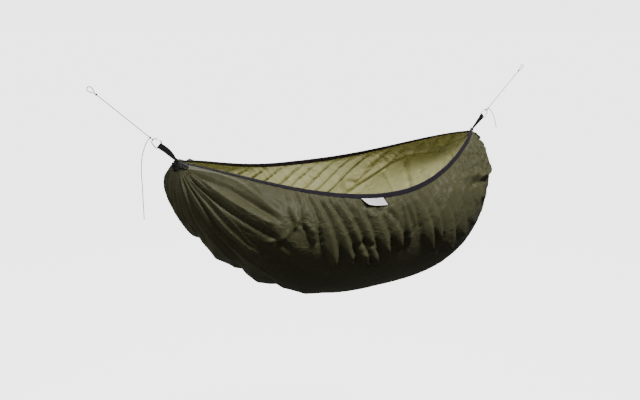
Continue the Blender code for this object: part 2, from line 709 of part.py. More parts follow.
def gate_outline():
    # The gate's wire starts in the lug, runs up one side, crosses under the nose and returns.
    lug_half = HOOK_ROD_RADIUS + CLEARANCE + GATE_WIRE_RADIUS
    reach = HOOK_TOP_RADIUS - HOOK_ROD_RADIUS - 1.5 * CLEARANCE - GATE_WIRE_RADIUS
    rise = HOOK_TOP_RADIUS - HOOK_NOSE_DROP + GATE_NOSE_OVERLAP
    end = (HOOK_LENGTH - HOOK_TOP_RADIUS + rise, math.sqrt(reach ** 2 - rise ** 2))
    pivot = (GATE_PIVOT_HEIGHT, HOOK_HALF_WIDTH)
    half = [(*pivot, GATE_END_GAP / 2), (*pivot, 0.6 * lug_half), (*pivot, 0.92 * lug_half)]
    for share in (0.05, 0.2, 0.45, 0.7, 0.9, 0.97):
        half.append((pivot[0] + (end[0] - pivot[0]) * share,
                     pivot[1] + (end[1] - pivot[1]) * share, lug_half))
    half.append((*end, 0.75 * lug_half))
    half.append((*end, 0.3 * lug_half))
    half = np.array(half)
    return np.concatenate([half, half[::-1] * (1, 1, -1)])


def build_hook(name, side, mats, axis):
    outline = hook_outline()
    path = place(side, STRAP_LENGTH + outline[:, 0], outline[:, 1])
    body = add_mesh(f"{name}_hook_body", tube(path, HOOK_ROD_RADIUS, 8), mats["metal"], axis)
    pivot = place(side, STRAP_LENGTH + GATE_PIVOT_HEIGHT, HOOK_HALF_WIDTH)
    hole_path = pivot + np.outer((-1.5, 1.5), (0.0, HOOK_ROD_RADIUS, 0.0))
    hole = add_mesh(f"{name}_gate_hole", tube(hole_path, GATE_WIRE_RADIUS + CLEARANCE, 12),
                    mats["metal"], axis)
    hole.display_type = "WIRE"
    hole.hide_render = True
    cut = body.modifiers.new("gate_hole", "BOOLEAN")
    cut.operation = "DIFFERENCE"
    cut.object = hole
    gate_axis = add_axis(f"{name}_gate_axis", pivot, axis)
    wire = gate_outline()
    path = place(side, STRAP_LENGTH + wire[:, 0], wire[:, 1], wire[:, 2])
    add_mesh(f"{name}_hook_gate", tube(path, GATE_WIRE_RADIUS, 5), mats["metal"], gate_axis)


# Cords and knots

def knot_profile(radius, rounds=2):
    # A ball with shallow grooves where the turns of the knot meet.
    turn = np.linspace(0, math.pi, 4 * rounds + 1)
    groove = 1 - 0.10 * np.cos(rounds * turn) ** 2 * np.sin(turn) ** 2
    return list(zip(-radius * groove * np.cos(turn), radius * groove * np.sin(turn)))


def build_cords(name, side, tail, mats, axis):
    along, _ = end_frame(side)
    centre = hitch_centre(side)
    ring_turn = 2 * math.pi * np.arange(12) / 12
    ring = place(side, STRAP_LENGTH + HOOK_LENGTH + HITCH_RING_RADIUS * np.cos(ring_turn), 0.0,
                 HITCH_RING_RADIUS * np.sin(ring_turn))
    add_mesh(f"{name}_hitch_loop", tube(ring, CORD_DIAMETER / 2, 6, closed=True), mats["cord"],
             axis)
    add_mesh(f"{name}_hitch_knot", turned(knot_profile(HITCH_KNOT_RADIUS), centre, along, 8),
             mats["cord"], axis)
    direction = outward(side, CORD_ANGLE)
    start = centre + (HITCH_KNOT_RADIUS + CLEARANCE) * direction
    steps = np.linspace(0, CORD_LENGTH, round(CORD_LENGTH / CORD_DIAMETER / 3))
    add_cord(f"{name}_suspension_cord", start + steps[:, None] * direction, mats["cord"], axis)
    route = centre + smooth_path(((0, 0, 0), *tail), 3 * CORD_DIAMETER)
    first = route[1] - centre
    route[0] = centre + (HITCH_KNOT_RADIUS + CLEARANCE) * first / np.linalg.norm(first)
    add_cord(f"{name}_cord_tail", route, mats["cord"], axis)
    last = route[-1] - route[-2]
    last /= np.linalg.norm(last)
    end = route[-1] + (TAIL_KNOT_RADIUS + CLEARANCE) * last
    add_mesh(f"{name}_tail_knot", turned(knot_profile(TAIL_KNOT_RADIUS), end, last, 8),
             mats["cord"], axis)


def build_anchor(name, side, mats):
    # The tied eye that stays on its hook or peg: a round knot on the swing axis and a loop.
    centre = anchor_centre(side)
    direction = outward(side, CORD_ANGLE)
    wide = np.array([-side * math.sin(CORD_ANGLE), 0.0, math.cos(CORD_ANGLE)])
    add_mesh(f"{name}_anchor_knot",
             turned(knot_profile(ANCHOR_KNOT_RADIUS), centre, direction, 8), mats["cord"])
    foot = ANCHOR_KNOT_RADIUS + CLEARANCE + CORD_DIAMETER / 2
    straight = LOOP_LENGTH - LOOP_HALF_WIDTH + CORD_DIAMETER / 2
    bend = LOOP_HALF_WIDTH
    turn = np.linspace(-0.5 * math.pi, 0.5 * math.pi, 9)
    along = np.concatenate([[foot], [0.4 * foot + 0.6 * straight], straight + bend * np.cos(turn),
                            [0.4 * foot + 0.6 * straight]])
    width = np.concatenate([[0.0], [-0.75 * bend], bend * np.sin(turn), [0.75 * bend]])
    path = centre + along[:, None] * direction + width[:, None] * wide
    add_mesh(f"{name}_anchor_loop", tube(path, CORD_DIAMETER / 2, 6, closed=True), mats["cord"])


def main():
    clear_scene()
    mats = {
        "shell": make_material("olive_shell_cloth", (0.060, 0.060, 0.032), 0.45),
        "casing": make_material("olive_casing_cloth", (0.075, 0.072, 0.042), 0.5),
        "lining": make_material("khaki_lining_cloth", (0.290, 0.280, 0.130), 0.6),
        "insulation": make_material("white_fibre_fill", (0.78, 0.78, 0.76), 0.95),
        "binding": make_material("black_edge_binding", (0.018, 0.016, 0.020), 0.6),
        "webbing": make_material("charcoal_webbing", (0.020, 0.020, 0.022), 0.75),
        "metal": make_material("bright_aluminium", (0.80, 0.80, 0.82), 0.25, 1.0),
        "cord": make_material("black_cord", (0.020, 0.020, 0.020), 0.7),
        "label": make_material("white_woven_label", (0.80, 0.80, 0.80), 0.8),
    }
    swing = add_axis("swing_axis", anchor_centre(LEFT))
    build_pouch(mats, swing)
    build_edges(mats, swing)
    build_label(mats, swing)
    for name, side, tail, taper, bow in (
            ("left", LEFT, LEFT_TAIL, LEFT_STRAP_TAPER, STRAP_BOW),
            ("right", RIGHT, RIGHT_TAIL, RIGHT_STRAP_TAPER, 0.0)):
        build_neck(name, side, mats, swing)
        build_strap(name, side, taper, bow, mats, swing)
        build_hook(name, side, mats, swing)
        build_cords(name, side, tail, mats, swing)
        build_anchor(name, side, mats)


main()
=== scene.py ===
# Insulated camp hammock: a dark olive quilted pouch with a khaki lining, hung by its gathered ends
# from webbing straps, wire-gate hooks and thin cords.
import math

import bpy
import numpy as np
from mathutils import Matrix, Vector


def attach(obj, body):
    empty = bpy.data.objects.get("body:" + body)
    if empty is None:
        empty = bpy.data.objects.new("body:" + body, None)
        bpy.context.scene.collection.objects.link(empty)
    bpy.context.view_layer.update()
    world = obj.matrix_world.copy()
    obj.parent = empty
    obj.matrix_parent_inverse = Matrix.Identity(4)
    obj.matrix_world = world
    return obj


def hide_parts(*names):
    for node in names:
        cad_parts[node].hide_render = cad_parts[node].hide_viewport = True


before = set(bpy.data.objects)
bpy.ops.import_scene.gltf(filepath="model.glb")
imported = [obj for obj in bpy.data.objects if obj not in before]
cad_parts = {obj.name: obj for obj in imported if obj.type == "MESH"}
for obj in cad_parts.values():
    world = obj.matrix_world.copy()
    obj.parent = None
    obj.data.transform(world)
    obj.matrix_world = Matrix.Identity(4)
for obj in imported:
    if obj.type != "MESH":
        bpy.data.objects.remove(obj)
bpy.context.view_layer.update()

# Driving sizes of the part, in metres
cloth = dict(
    middle=(1.07603, 0.0, -0.30730),    # half way between the necks, at their level
    neckHalfSpan=0.750,
    hemHalfWidth=0.377,
    hemPlan=(1.468, 0.878),
    hemRounding=0.22,
    hemSag=0.140,
    hemSagShape=(2.064, 1.422),
    bellyHalfWidth=0.410,
    depth=0.656,
    leftKeel=((0.128, 0.174), (-0.123, 0.465), 0.370),
    rightKeel=((0.141, 0.161), (-0.197, 0.648), 0.473),
)
ends = dict(
    left=-1, right=1,
    strapAngle=math.radians(44.7),
    cordAngle=math.radians(42.6),
)
middle = np.array(cloth["middle"])
nearWay = np.array([0.0, -1.0, 0.0])


def unit(vectors):
    # Each vector over its own length.
    return vectors / np.maximum(np.linalg.norm(vectors, axis=-1, keepdims=True), 1e-12)


def smooth(value, low=0.0, high=1.0):
    # 3t^2 - 2t^3 between low and high, flat outside.
    t = np.clip((value - low) / (high - low), 0, 1)
    return t * t * (3 - 2 * t)


def bump(value, centre, width):
    # A bell curve round centre, one high.
    return np.exp(-((value - centre) / width) ** 2)


def addObject(name, data):
    # A new object in the scene.
    made = bpy.data.objects.new(name, data)
    bpy.context.scene.collection.objects.link(made)
    return made


# Camera at the photograph's angle
view = dict(
    place=(-0.6106, -2.7064, 0.2747),
    target=(0.9681, 0.0, -0.5444),
    lens=41.0,
)


def makeCamera():
    # It stands at the photograph's place and looks at the target.
    data = bpy.data.cameras.new("photoCamera")
    data.lens = view["lens"]
    data.sensor_width = 36.0
    data.clip_start, data.clip_end = 0.05, 100
    camera = addObject("photoCamera", data)
    camera.location = view["place"]
    gaze = Vector(view["target"]) - Vector(view["place"])
    camera.rotation_euler = gaze.to_track_quat("-Z", "Y").to_euler()
    bpy.context.scene.camera = camera


makeCamera()
print("camera made")


# Shader tools

def newMaterial(name):
    # A material with its node tree and its shader.
    material = bpy.data.materials.new(name)
    material.use_nodes = True
    tree = material.node_tree
    return material, tree, tree.nodes["Principled BSDF"]


def feed(tree, socket, value):
    # A link where the value is a socket, and otherwise a constant.
    if isinstance(value, bpy.types.NodeSocket):
        tree.links.new(value, socket)
    else:
        socket.default_value = value


def feedAll(tree, node, inputs):
    # inputs gives a value or a socket for each input, by its name or number.
    for key, value in dict(inputs).items():
        feed(tree, node.inputs[key], value)
    return node


def addNode(tree, kind, inputs=(), **settings):
    # A node of that kind with its settings made and its inputs fed.
    made = tree.nodes.new("ShaderNode" + kind)
    for name, value in settings.items():
        setattr(made, name, value)
    return feedAll(tree, made, inputs)


def sums(tree, operation, *values):
    # One Math node.
    return addNode(tree, "Math", enumerate(values), operation=operation).outputs[0]


def sine(tree, value, factor=math.pi):
    # sin(value * factor).
    return sums(tree, "SINE", sums(tree, "MULTIPLY", value, factor))


def ridges(tree, value, factor=math.pi):
    # |sin(value * factor)|.
    return sums(tree, "ABSOLUTE", sine(tree, value, factor))


def ramp(tree, value, low, high, start=0.0, end=1.0):
    # A smooth step of value from low to high, put out from start to end.
    made = addNode(tree, "MapRange", {"Value": value, "From Min": low, "From Max": high,
                                      "To Min": start, "To Max": end},
                   interpolation_type="SMOOTHSTEP")
    return made.outputs["Result"]


def blendColour(tree, share, first, second):
    # first * (1 - share) + second * share.
    return addNode(tree, "Mix", {0: share, 6: first, 7: second}, data_type="RGBA").outputs[2]


def noiseAt(tree, vector, scale, detail=3.0, roughness=0.5):
    # Soft noise between 0 and 1.
    return addNode(tree, "TexNoise", {"Vector": vector, "Scale": scale, "Detail": detail,
                                      "Roughness": roughness}).outputs["Fac"]


def newGroup(name, wants, gives):
    # A shader group with named inputs (name, kind, value) and float outputs.
    group = bpy.data.node_groups.new(name, "ShaderNodeTree")
    for label, kind, value in wants:
        socket = group.interface.new_socket(label, in_out="INPUT", socket_type="NodeSocket" + kind)
        if value is not None:
            socket.default_value = value
    for label in gives:
        group.interface.new_socket(label, in_out="OUTPUT", socket_type="NodeSocketFloat")
    return group, group.nodes.new("NodeGroupInput").outputs, group.nodes.new("NodeGroupOutput").inputs


def makeWeaveGroup():
    # Plain weave: the height of the warp is |sin(u)|, of the weft |sin(v)|, and a checker of
    # sin(u) * sin(v) says which of them lies on top. Slubs shift the brightness of single threads,
    # and painted shade makes the threads that stand higher lighter.
    group, given, out = newGroup("plainWeave", (("Flat", "Vector", None), ("Pitch", "Float", 0.001)),
                                 ("Height", "SlubsAndShade"))
    split = addNode(group, "SeparateXYZ", {0: given["Flat"]})
    turns = [sums(group, "DIVIDE", split.outputs[axis], given["Pitch"]) for axis in (0, 1)]
    waves = [sine(group, turn) for turn in turns]
    rise = sums(group, "ADD", *(sums(group, "ABSOLUTE", wave) for wave in waves))
    height = sums(group, "MULTIPLY_ADD", sums(group, "MULTIPLY", *waves), 0.35,
                  sums(group, "MULTIPLY", rise, 0.33))
    threads = addNode(group, "CombineXYZ", {0: sums(group, "FLOOR", turns[0]), 1: 0.5})
    slub = noiseAt(group, threads.outputs[0], 0.37, 1.0)
    feed(group, out["Height"], height)
    # The tone mask is slubs plus painted shade: 0.3 of the height lightens the raised threads.
    feed(group, out["SlubsAndShade"],
         sums(group, "MULTIPLY_ADD", slub, 0.7, sums(group, "MULTIPLY", height, 0.3)))
    return group


def makeCrinkleGroup():
    # Sharp creases lie where two cells of a warped cell pattern meet, in patches; between them the
    # cloth is lightly buckled by noise.
    group, given, out = newGroup(
        "clothCrinkle", (("Flat", "Vector", None), ("Size", "Float", 0.04), ("Amount", "Float", 0.5)),
        ("Height", "Crease"))
    scale = sums(group, "DIVIDE", 1.0, given["Size"])
    drift = addNode(group, "TexNoise", {"Vector": given["Flat"], "Scale": scale, "Detail": 2.0})
    scatter = addNode(group, "VectorMath", {0: drift.outputs["Color"], 1: (0.5, 0.5, 0.5)},
                      operation="SUBTRACT")
    shift = addNode(group, "VectorMath", {0: scatter.outputs[0], "Scale": given["Size"]},
                    operation="SCALE")
    bent = addNode(group, "VectorMath", {0: given["Flat"], 1: shift.outputs[0]}, operation="ADD")
    cells = addNode(group, "TexVoronoi", {"Vector": bent.outputs[0], "Scale": scale},
                    feature="DISTANCE_TO_EDGE")
    line = ramp(group, cells.outputs["Distance"], 0.0, 0.10, 1.0, 0.0)
    broad = noiseAt(group, given["Flat"], sums(group, "MULTIPLY", scale, 0.22), 1.0)
    patch = ramp(group, sums(group, "ADD", broad, sums(group, "MULTIPLY", given["Amount"], 0.3)),
                 0.55, 0.72)
    crease = sums(group, "MULTIPLY", line, patch)
    buckle = noiseAt(group, bent.outputs[0], sums(group, "MULTIPLY", scale, 0.8), 2.0)
    feed(group, out["Height"], sums(group, "MULTIPLY_ADD", buckle, patch,
                                    sums(group, "MULTIPLY", crease, 0.35)))
    feed(group, out["Crease"], crease)
    return group


def makeWearGroup():
    # Patches of dirt and fading from broad noise, and a fine grain that breaks up the finish.
    group, given, out = newGroup("useAndWear", (("Place", "Vector", None), ("Size", "Float", 0.12)),
                                 ("Fade", "Grain"))
    scale = sums(group, "DIVIDE", 1.0, given["Size"])
    broad = noiseAt(group, given["Place"], scale, 4.0, 0.55)
    feed(group, out["Fade"], ramp(group, broad, 0.35, 0.70))
    feed(group, out["Grain"], noiseAt(group, given["Place"], sums(group, "MULTIPLY", scale, 60.0)))
    return group


def makeBraidGroup():
    # Strands cross at two slants: |sin(strands * turn + run / pitch)| and its mirror image.
    group, given, out = newGroup("roundBraid", (("Flat", "Vector", None), ("Strands", "Float", 4.0),
                                                ("Pitch", "Float", 0.006)), ("Height", "GapShade"))
    split = addNode(group, "SeparateXYZ", {0: given["Flat"]})
    turn = sums(group, "MULTIPLY", split.outputs[0], given["Strands"])
    run = sums(group, "DIVIDE", split.outputs[1], given["Pitch"])
    slants = [ridges(group, sums(group, way, turn, run)) for way in ("ADD", "SUBTRACT")]
    height = sums(group, "MINIMUM", *(sums(group, "POWER", slant, 0.5) for slant in slants))
    feed(group, out["Height"], height)
    # Painted shade: 1 where the braid is low between its strands.
    feed(group, out["GapShade"], ramp(group, height, 0.05, 0.6, 1.0, 0.0))
    return group


effects = dict(weave=makeWeaveGroup(), crinkle=makeCrinkleGroup(), wear=makeWearGroup(),
               braid=makeBraidGroup())


def effect(tree, name, inputs):
    # One of the shared groups, with its inputs fed.
    made = tree.nodes.new("ShaderNodeGroup")
    made.node_tree = effects[name]
    return feedAll(tree, made, inputs).outputs


def startLook(name, patch):
    # A new material with its object coordinates and its wear.
    material, tree, shader = newMaterial(name)
    position = addNode(tree, "TexCoord").outputs["Object"]
    wear = effect(tree, "wear", {"Place": position, "Size": patch})
    return material, tree, shader, position, wear


def flatUv(tree):
    # Metres over the flat cloth, or the turn and the metres of a cord.
    return addNode(tree, "UVMap", uv_map="flat").outputs["UV"]


def scaled(colour, share):
    # The same colour, darker or lighter.
    return tuple(min(1.0, part * share) for part in colour[:3]) + (1.0,)


def relief(tree, shader, layers):
    # Bumps laid over each other: (height socket, distance in metres, strength) for each layer.
    below = None
    for height, distance, strength in layers:
        made = addNode(tree, "Bump", {"Height": height, "Distance": distance, "Strength": strength})
        if below is not None:
            feed(tree, made.inputs["Normal"], below)
        below = made.outputs["Normal"]
    feed(tree, shader.inputs["Normal"], below)


def wovenCloth(name, look):
    # Nylon cloth: colour fades in patches and lightens along creases; roughness follows both.
    material, tree, shader, _, wear = startLook(name, look["patch"])
    flat, colour = flatUv(tree), look["colour"]
    weave = effect(tree, "weave", {"Flat": flat, "Pitch": look["pitch"]})
    crinkle = effect(tree, "crinkle", {"Flat": flat, "Size": look["crinkle"],
                                       "Amount": look["crumple"]})
    base = blendColour(tree, wear["Fade"], scaled(colour, 1 - look["fade"]),
                       scaled(colour, 1 + look["fade"]))
    # Slubs, and painted shade from the weave's height, lighten single threads.
    threads = blendColour(tree, ramp(tree, weave["SlubsAndShade"], 0.2, 0.8), base, scaled(colour, 1.25))
    crease = sums(tree, "MULTIPLY", crinkle["Crease"], look["line"])
    rough = sums(tree, "MULTIPLY_ADD", wear["Grain"], 0.10, look["roughness"] - 0.05)
    feedAll(tree, shader, {
        "Base Color": blendColour(tree, crease, threads, scaled(colour, 2.2)),
        "Roughness": sums(tree, "MULTIPLY_ADD", wear["Fade"], -0.05, rough),
        "Specular IOR Level": look["gloss"], "Sheen Weight": look["sheen"], "Sheen Roughness": 0.45})
    relief(tree, shader, ((crinkle["Height"], look["crinkle"] * 0.10, look["dent"]),
                          (weave["Height"], look["pitch"] * 0.3, 0.25)))
    return material


def tapeCloth(name, look):
    # Ribbed tape: ribs are |sin(run / rib)|, stitches are dashes in two rows at fixed widths, and
    # the tape pales where it has rubbed. The raised ribs are painted lighter, a painted highlight.
    material, tree, shader, _, wear = startLook(name, look["patch"])
    colour = look["colour"]
    across, run = addNode(tree, "SeparateXYZ", {0: flatUv(tree)}).outputs[:2]
    cross = ridges(tree, across, math.pi / look["warp"])
    ground = sums(tree, "MULTIPLY_ADD", ridges(tree, run, math.pi / look["rib"]), 0.6,
                  sums(tree, "MULTIPLY", cross, 0.4))
    base = blendColour(tree, wear["Fade"], scaled(colour, 0.8), scaled(colour, 1.3))
    # Painted highlight: the rib height lightens the colour on top of the ribs.
    shown = blendColour(tree, sums(tree, "MULTIPLY", ground, 0.5), base, scaled(colour, 1.9))
    layers = [(ground, look["rib"] * 0.25, 0.6)]
    if look["rows"]:
        aside = sums(tree, "MINIMUM", *(sums(tree, "ABSOLUTE", sums(tree, "SUBTRACT", across, row))
                                        for row in look["rows"]))
        dash = ramp(tree, sine(tree, run, 2 * math.pi / look["stitch"]), -0.3, 0.0)
        thread = sums(tree, "MULTIPLY", ramp(tree, aside, 0.0003, 0.0007, 1.0, 0.0), dash)
        shown = blendColour(tree, thread, shown, (*look["thread"], 1.0))
        layers.append((thread, 0.0004, 0.7))
    feedAll(tree, shader, {
        "Base Color": shown,
        "Roughness": sums(tree, "MULTIPLY_ADD", wear["Grain"], 0.15, look["roughness"] - 0.08),
        "Specular IOR Level": look["gloss"], "Sheen Weight": look["sheen"]})
    relief(tree, shader, layers)
    return material


def braidedCord(name, look):
    # Black braid: the gaps between strands are painted dark as painted shade, so the raised strands
    # look lighter.
    material, tree, shader, _, wear = startLook(name, look["patch"])
    colour = look["colour"]
    braid = effect(tree, "braid", {"Flat": flatUv(tree), "Strands": look["strands"],
                                   "Pitch": look["pitch"]})
    lit = blendColour(tree, wear["Fade"], scaled(colour, 0.9), scaled(colour, 1.7))
    feedAll(tree, shader, {
        # The gaps take a painted shade of 0.35 of the colour.
        "Base Color": blendColour(tree, braid["GapShade"], lit, scaled(colour, 0.35)),
        "Roughness": sums(tree, "MULTIPLY_ADD", wear["Grain"], 0.2, 0.5)})
    relief(tree, shader, ((braid["Height"], 0.0004, 0.7),))
    return material


def brightMetal(name, look):
    # Polished drawn rod: faint drawing lines from stretched noise, small dull scuffs.
    material, tree, shader, position, wear = startLook(name, look["patch"])
    stretched = addNode(tree, "Mapping", {"Vector": position, "Scale": look["stretch"]})
    lines = noiseAt(tree, stretched.outputs[0], 1.0, 4.0)
    rough = sums(tree, "MULTIPLY_ADD", wear["Fade"], 0.16, sums(tree, "MULTIPLY", lines, 0.22))
    feedAll(tree, shader, {
        "Base Color": blendColour(tree, wear["Fade"], look["colour"], look["scuffed"]),
        "Metallic": 1.0, "Roughness": sums(tree, "ADD", rough, 0.10)})
    relief(tree, shader, ((lines, 0.00006, 0.4),))
    return material


looks = dict(
    shell=dict(colour=(0.070, 0.068, 0.033), pitch=0.0009, crinkle=0.042, crumple=0.55, patch=0.20,
               fade=0.14, line=0.18, roughness=0.56, gloss=0.18, sheen=0.02, dent=0.75),
    casing=dict(colour=(0.017, 0.0165, 0.0155), pitch=0.0009, crinkle=0.016, crumple=0.6, patch=0.06,
                fade=0.2, line=0.25, roughness=0.65, gloss=0.15, sheen=0.02, dent=0.7),
    flap=dict(colour=(0.070, 0.068, 0.042), pitch=0.0009, crinkle=0.016, crumple=0.6, patch=0.06,
              fade=0.2, line=0.25, roughness=0.52, gloss=0.42, sheen=0.06, dent=0.7),
    lining=dict(colour=(0.400, 0.388, 0.196), pitch=0.0009, crinkle=0.055, crumple=0.50, patch=0.22,
                fade=0.06, line=0.06, roughness=0.62, gloss=0.25, sheen=0.03, dent=0.70),
    label=dict(colour=(0.92, 0.92, 0.91), pitch=0.0008, crinkle=0.030, crumple=0.1, patch=0.03,
               fade=0.05, line=0.0, roughness=0.75, gloss=0.3, sheen=0.05, dent=0.3),
    binding=dict(colour=(0.011, 0.008, 0.013), rib=0.0016, warp=0.0012, patch=0.05,
                 rows=(0.006, 0.0215), stitch=0.0032, thread=(0.03, 0.026, 0.034), roughness=0.70,
                 sheen=0.02, gloss=0.15),
    webbing=dict(colour=(0.012, 0.012, 0.013), rib=0.0011, warp=0.0016, patch=0.03, rows=(),
                 roughness=0.75, sheen=0.03, gloss=0.2),
    cord=dict(colour=(0.022, 0.022, 0.023), patch=0.03, strands=4.0, pitch=0.006),
    metal=dict(colour=(0.86, 0.86, 0.88, 1.0), scuffed=(0.66, 0.66, 0.68, 1.0), patch=0.008,
               stretch=(90.0, 1400.0, 90.0)),
)
finishes = {slot: make(name, looks[slot]) for slot, make, name in (
    ("shell", wovenCloth, "oliveShell"), ("casing", wovenCloth, "charcoalNeckBand"),
    ("flap", wovenCloth, "oliveNeckRuffle"), ("lining", wovenCloth, "khakiLining"),
    ("label", wovenCloth, "bareWhiteLabel"), ("binding", tapeCloth, "blackEdgeTape"),
    ("webbing", tapeCloth, "charcoalWebbing"), ("cord", braidedCord, "blackBraid"),
    ("metal", brightMetal, "brightHookMetal"))}
print("materials made")


# Mesh tools

def gridFaces(rows, columns, wrapRows=False, wrapColumns=False):
    # Quads between neighbours of a rows by columns grid.
    i = np.arange(rows if wrapRows else rows - 1)
    j = np.arange(columns if wrapColumns else columns - 1)
    i, j = (part.ravel() for part in np.meshgrid(i, j, indexing="ij"))
    nextI, nextJ = (i + 1) % rows, (j + 1) % columns
    return np.stack([i * columns + j, nextI * columns + j, nextI * columns + nextJ,
                     i * columns + nextJ], 1)


def enclosed(points, faces):
    # Volume inside a closed mesh of quads: the sum of a . (b x c) / 6 over its triangles.
    flat = points.reshape(-1, 3)
    a, b, c, d = (flat[faces[:, k]] for k in range(4))
    return float((np.einsum("ij,ij->i", a, np.cross(b, c))
                  + np.einsum("ij,ij->i", a, np.cross(c, d))).sum() / 6)


def meshPiece(name, points, faces, material, uvs, uvFaces=None, caps=()):
    # One smooth mesh; uvFaces says which entry of uvs each corner of a quad reads, where that isn't
    # its own point. caps are polygons that close the ends, with no uv of their own.
    mesh = bpy.data.meshes.new(name)
    mesh.from_pydata(points.reshape(-1, 3).tolist(), [], faces.tolist() + [list(cap) for cap in caps])
    mesh.polygons.foreach_set("use_smooth", [True] * len(mesh.polygons))
    chosen = uvs.reshape(-1, 2)[(faces if uvFaces is None else uvFaces).ravel()]
    chosen = np.concatenate([chosen, np.zeros((sum(len(cap) for cap in caps), 2))])
    mesh.uv_layers.new(name="flat").data.foreach_set("uv", chosen.ravel())
    mesh.materials.append(material)
    mesh.update()
    if caps:
        mesh.set_sharp_from_angle(angle=math.radians(50))
    return addObject(name, mesh)


def closedPiece(name, rings, uvs, material, closed=False):
    # Rings joined to a tube, with caps on open ends, and turned until its faces look outwards.
    rows, sides = rings.shape[:2]
    faces = gridFaces(rows, sides, wrapRows=closed, wrapColumns=True)
    uvFaces = gridFaces(*uvs.shape[:2])
    caps = () if closed else (range(sides)[::-1], range((rows - 1) * sides, rows * sides))
    if enclosed(rings, faces) < 0:
        faces, uvFaces = faces[:, ::-1], uvFaces[:, ::-1]
        caps = tuple(cap[::-1] for cap in caps)
    return meshPiece(name, rings, faces, material, uvs, uvFaces, caps)


def lengthsAlong(points, axis):
    # Distance run along a grid, from its first line.
    step = np.linalg.norm(np.diff(points, axis=axis), axis=-1)
    zero = np.zeros_like(np.take(step, [0], axis=axis))
    return np.concatenate([zero, np.cumsum(step, axis=axis)], axis=axis)


def carry(path, profile, reference, closed=False):
    # Ring k = path point k + profile x * (tangent x reference) + profile y * the way square to both.
    ahead = np.roll(path, -1, 0) - path
    behind = np.roll(ahead, 1, 0)
    tangent = ahead + behind
    if not closed:
        tangent[0], tangent[-1] = ahead[0], behind[-1]
    tangent = unit(tangent)
    sideways = unit(np.cross(tangent, np.asarray(reference, float)))
    upward = np.cross(sideways, tangent)
    profile = np.asarray(profile, float)
    if profile.ndim == 2:
        profile = profile[None] + np.zeros((len(path), 1, 1))
    return (path[:, None] + profile[..., :1] * sideways[:, None]
            + profile[..., 1:] * upward[:, None])


def ringPiece(name, rings, material, closed=False):
    # A tube of rings; its uv is the share of the way round, and the metres run along it.
    centres = rings.mean(1)
    loop = np.concatenate([centres, centres[:1]]) if closed else centres
    run = lengthsAlong(loop, 0)
    share = np.arange(rings.shape[1] + 1) / rings.shape[1]
    uvs = np.stack(np.broadcast_arrays(share[None, :], run[:, None]), -1)
    return closedPiece(name, rings, uvs, material, closed)


def circle(radius, sides):
    # Points at even turns, radius from the middle.
    turn = 2 * math.pi * np.arange(sides) / sides
    return radius * np.stack([np.cos(turn), np.sin(turn)], -1)


def roundedTube(name, path, radius, sides, reference, material, closed=False):
    # A round bar whose open ends are rounded off: the radius there is sqrt(1 - (1 - t)^2) of full.
    path = np.asarray(path, float)
    if closed:
        return ringPiece(name, carry(path, circle(radius, sides), reference, True), material, True)
    share = np.array([0.0, 0.12, 0.35, 0.65])
    first, last = unit(path[0] - path[1]), unit(path[-1] - path[-2])
    head = path[0] + radius * (0.5 - share)[:, None] * first
    tail = path[-1] + radius * (0.5 - share[::-1])[:, None] * last
    inner = path[1:-1]
    size = np.sqrt(1 - (1 - share) ** 2)
    size = np.concatenate([size, np.ones(len(inner)), size[::-1]])
    full = np.concatenate([head, inner, tail])
    profile = circle(radius, sides)[None] * np.maximum(size, 0.15)[:, None, None]
    return ringPiece(name, carry(full, profile, reference), material)


def slabPiece(name, outer, inner, material):
    # A closed sheet between two grids: both skins and the rim as one ring carried down the rows.
    width, run = lengthsAlong(outer, 1), lengthsAlong(outer, 0).mean(1)
    width = np.concatenate([width, width[:, ::-1], width[:, :1]], axis=1)
    uvs = np.stack([width, run[:, None] + 0 * width], -1)
    return closedPiece(name, np.concatenate([outer, inner[:, ::-1]], axis=1), uvs, material)


def cubic(a, b, c, d, t):
    # Catmull-Rom curve from b to c, whose neighbours are a and d, at the share t of the way.
    return 0.5 * (2 * b + (c - a) * t + (2 * a - 5 * b + 4 * c - d) * t ** 2
                  + (3 * b - a - 3 * c + d) * t ** 3)


def smoothRoute(points, spacing):
    # Cubic curve through the chosen points, read at even steps.
    points = np.asarray(points, float)
    padded = np.vstack([2 * points[0] - points[1], points, 2 * points[-1] - points[-2]])
    t = np.linspace(0, 1, 24, endpoint=False)[None, :, None]
    fine = cubic(*(padded[k:len(padded) - 3 + k, None] for k in range(4)), t)
    fine = np.vstack([fine.reshape(-1, 3), points[-1:]])
    run = lengthsAlong(fine, 0)
    even = np.linspace(0, run[-1], max(3, round(run[-1] / spacing) + 1))
    return np.stack([np.interp(even, run, fine[:, k]) for k in range(3)], 1)


def dress(piece, body, slot, *nodes):
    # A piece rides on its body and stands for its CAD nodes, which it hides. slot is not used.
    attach(piece, body)
    if nodes:
        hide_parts(*nodes)
    return piece


# Frames of the two ends, measured from a neck outwards along the strap

def outward(side, angle):
    # The way out of the pouch and up, at an angle above the level.
    return np.array([side * math.cos(angle), 0.0, math.sin(angle)])


def place(side, along, width, near=0.0):
    # along the strap's way out, width up and square to it, near away from the camera.
    ahead = outward(side, ends["strapAngle"])
    wide = np.array([-side * math.sin(ends["strapAngle"]), 0.0, math.cos(ends["strapAngle"])])
    along, width, near = np.broadcast_arrays(along, width, near)
    neck = middle + np.array([side * cloth["neckHalfSpan"], 0.0, 0.0])
    flat = neck + along[..., None] * ahead + width[..., None] * wide
    return flat - near[..., None] * nearWay


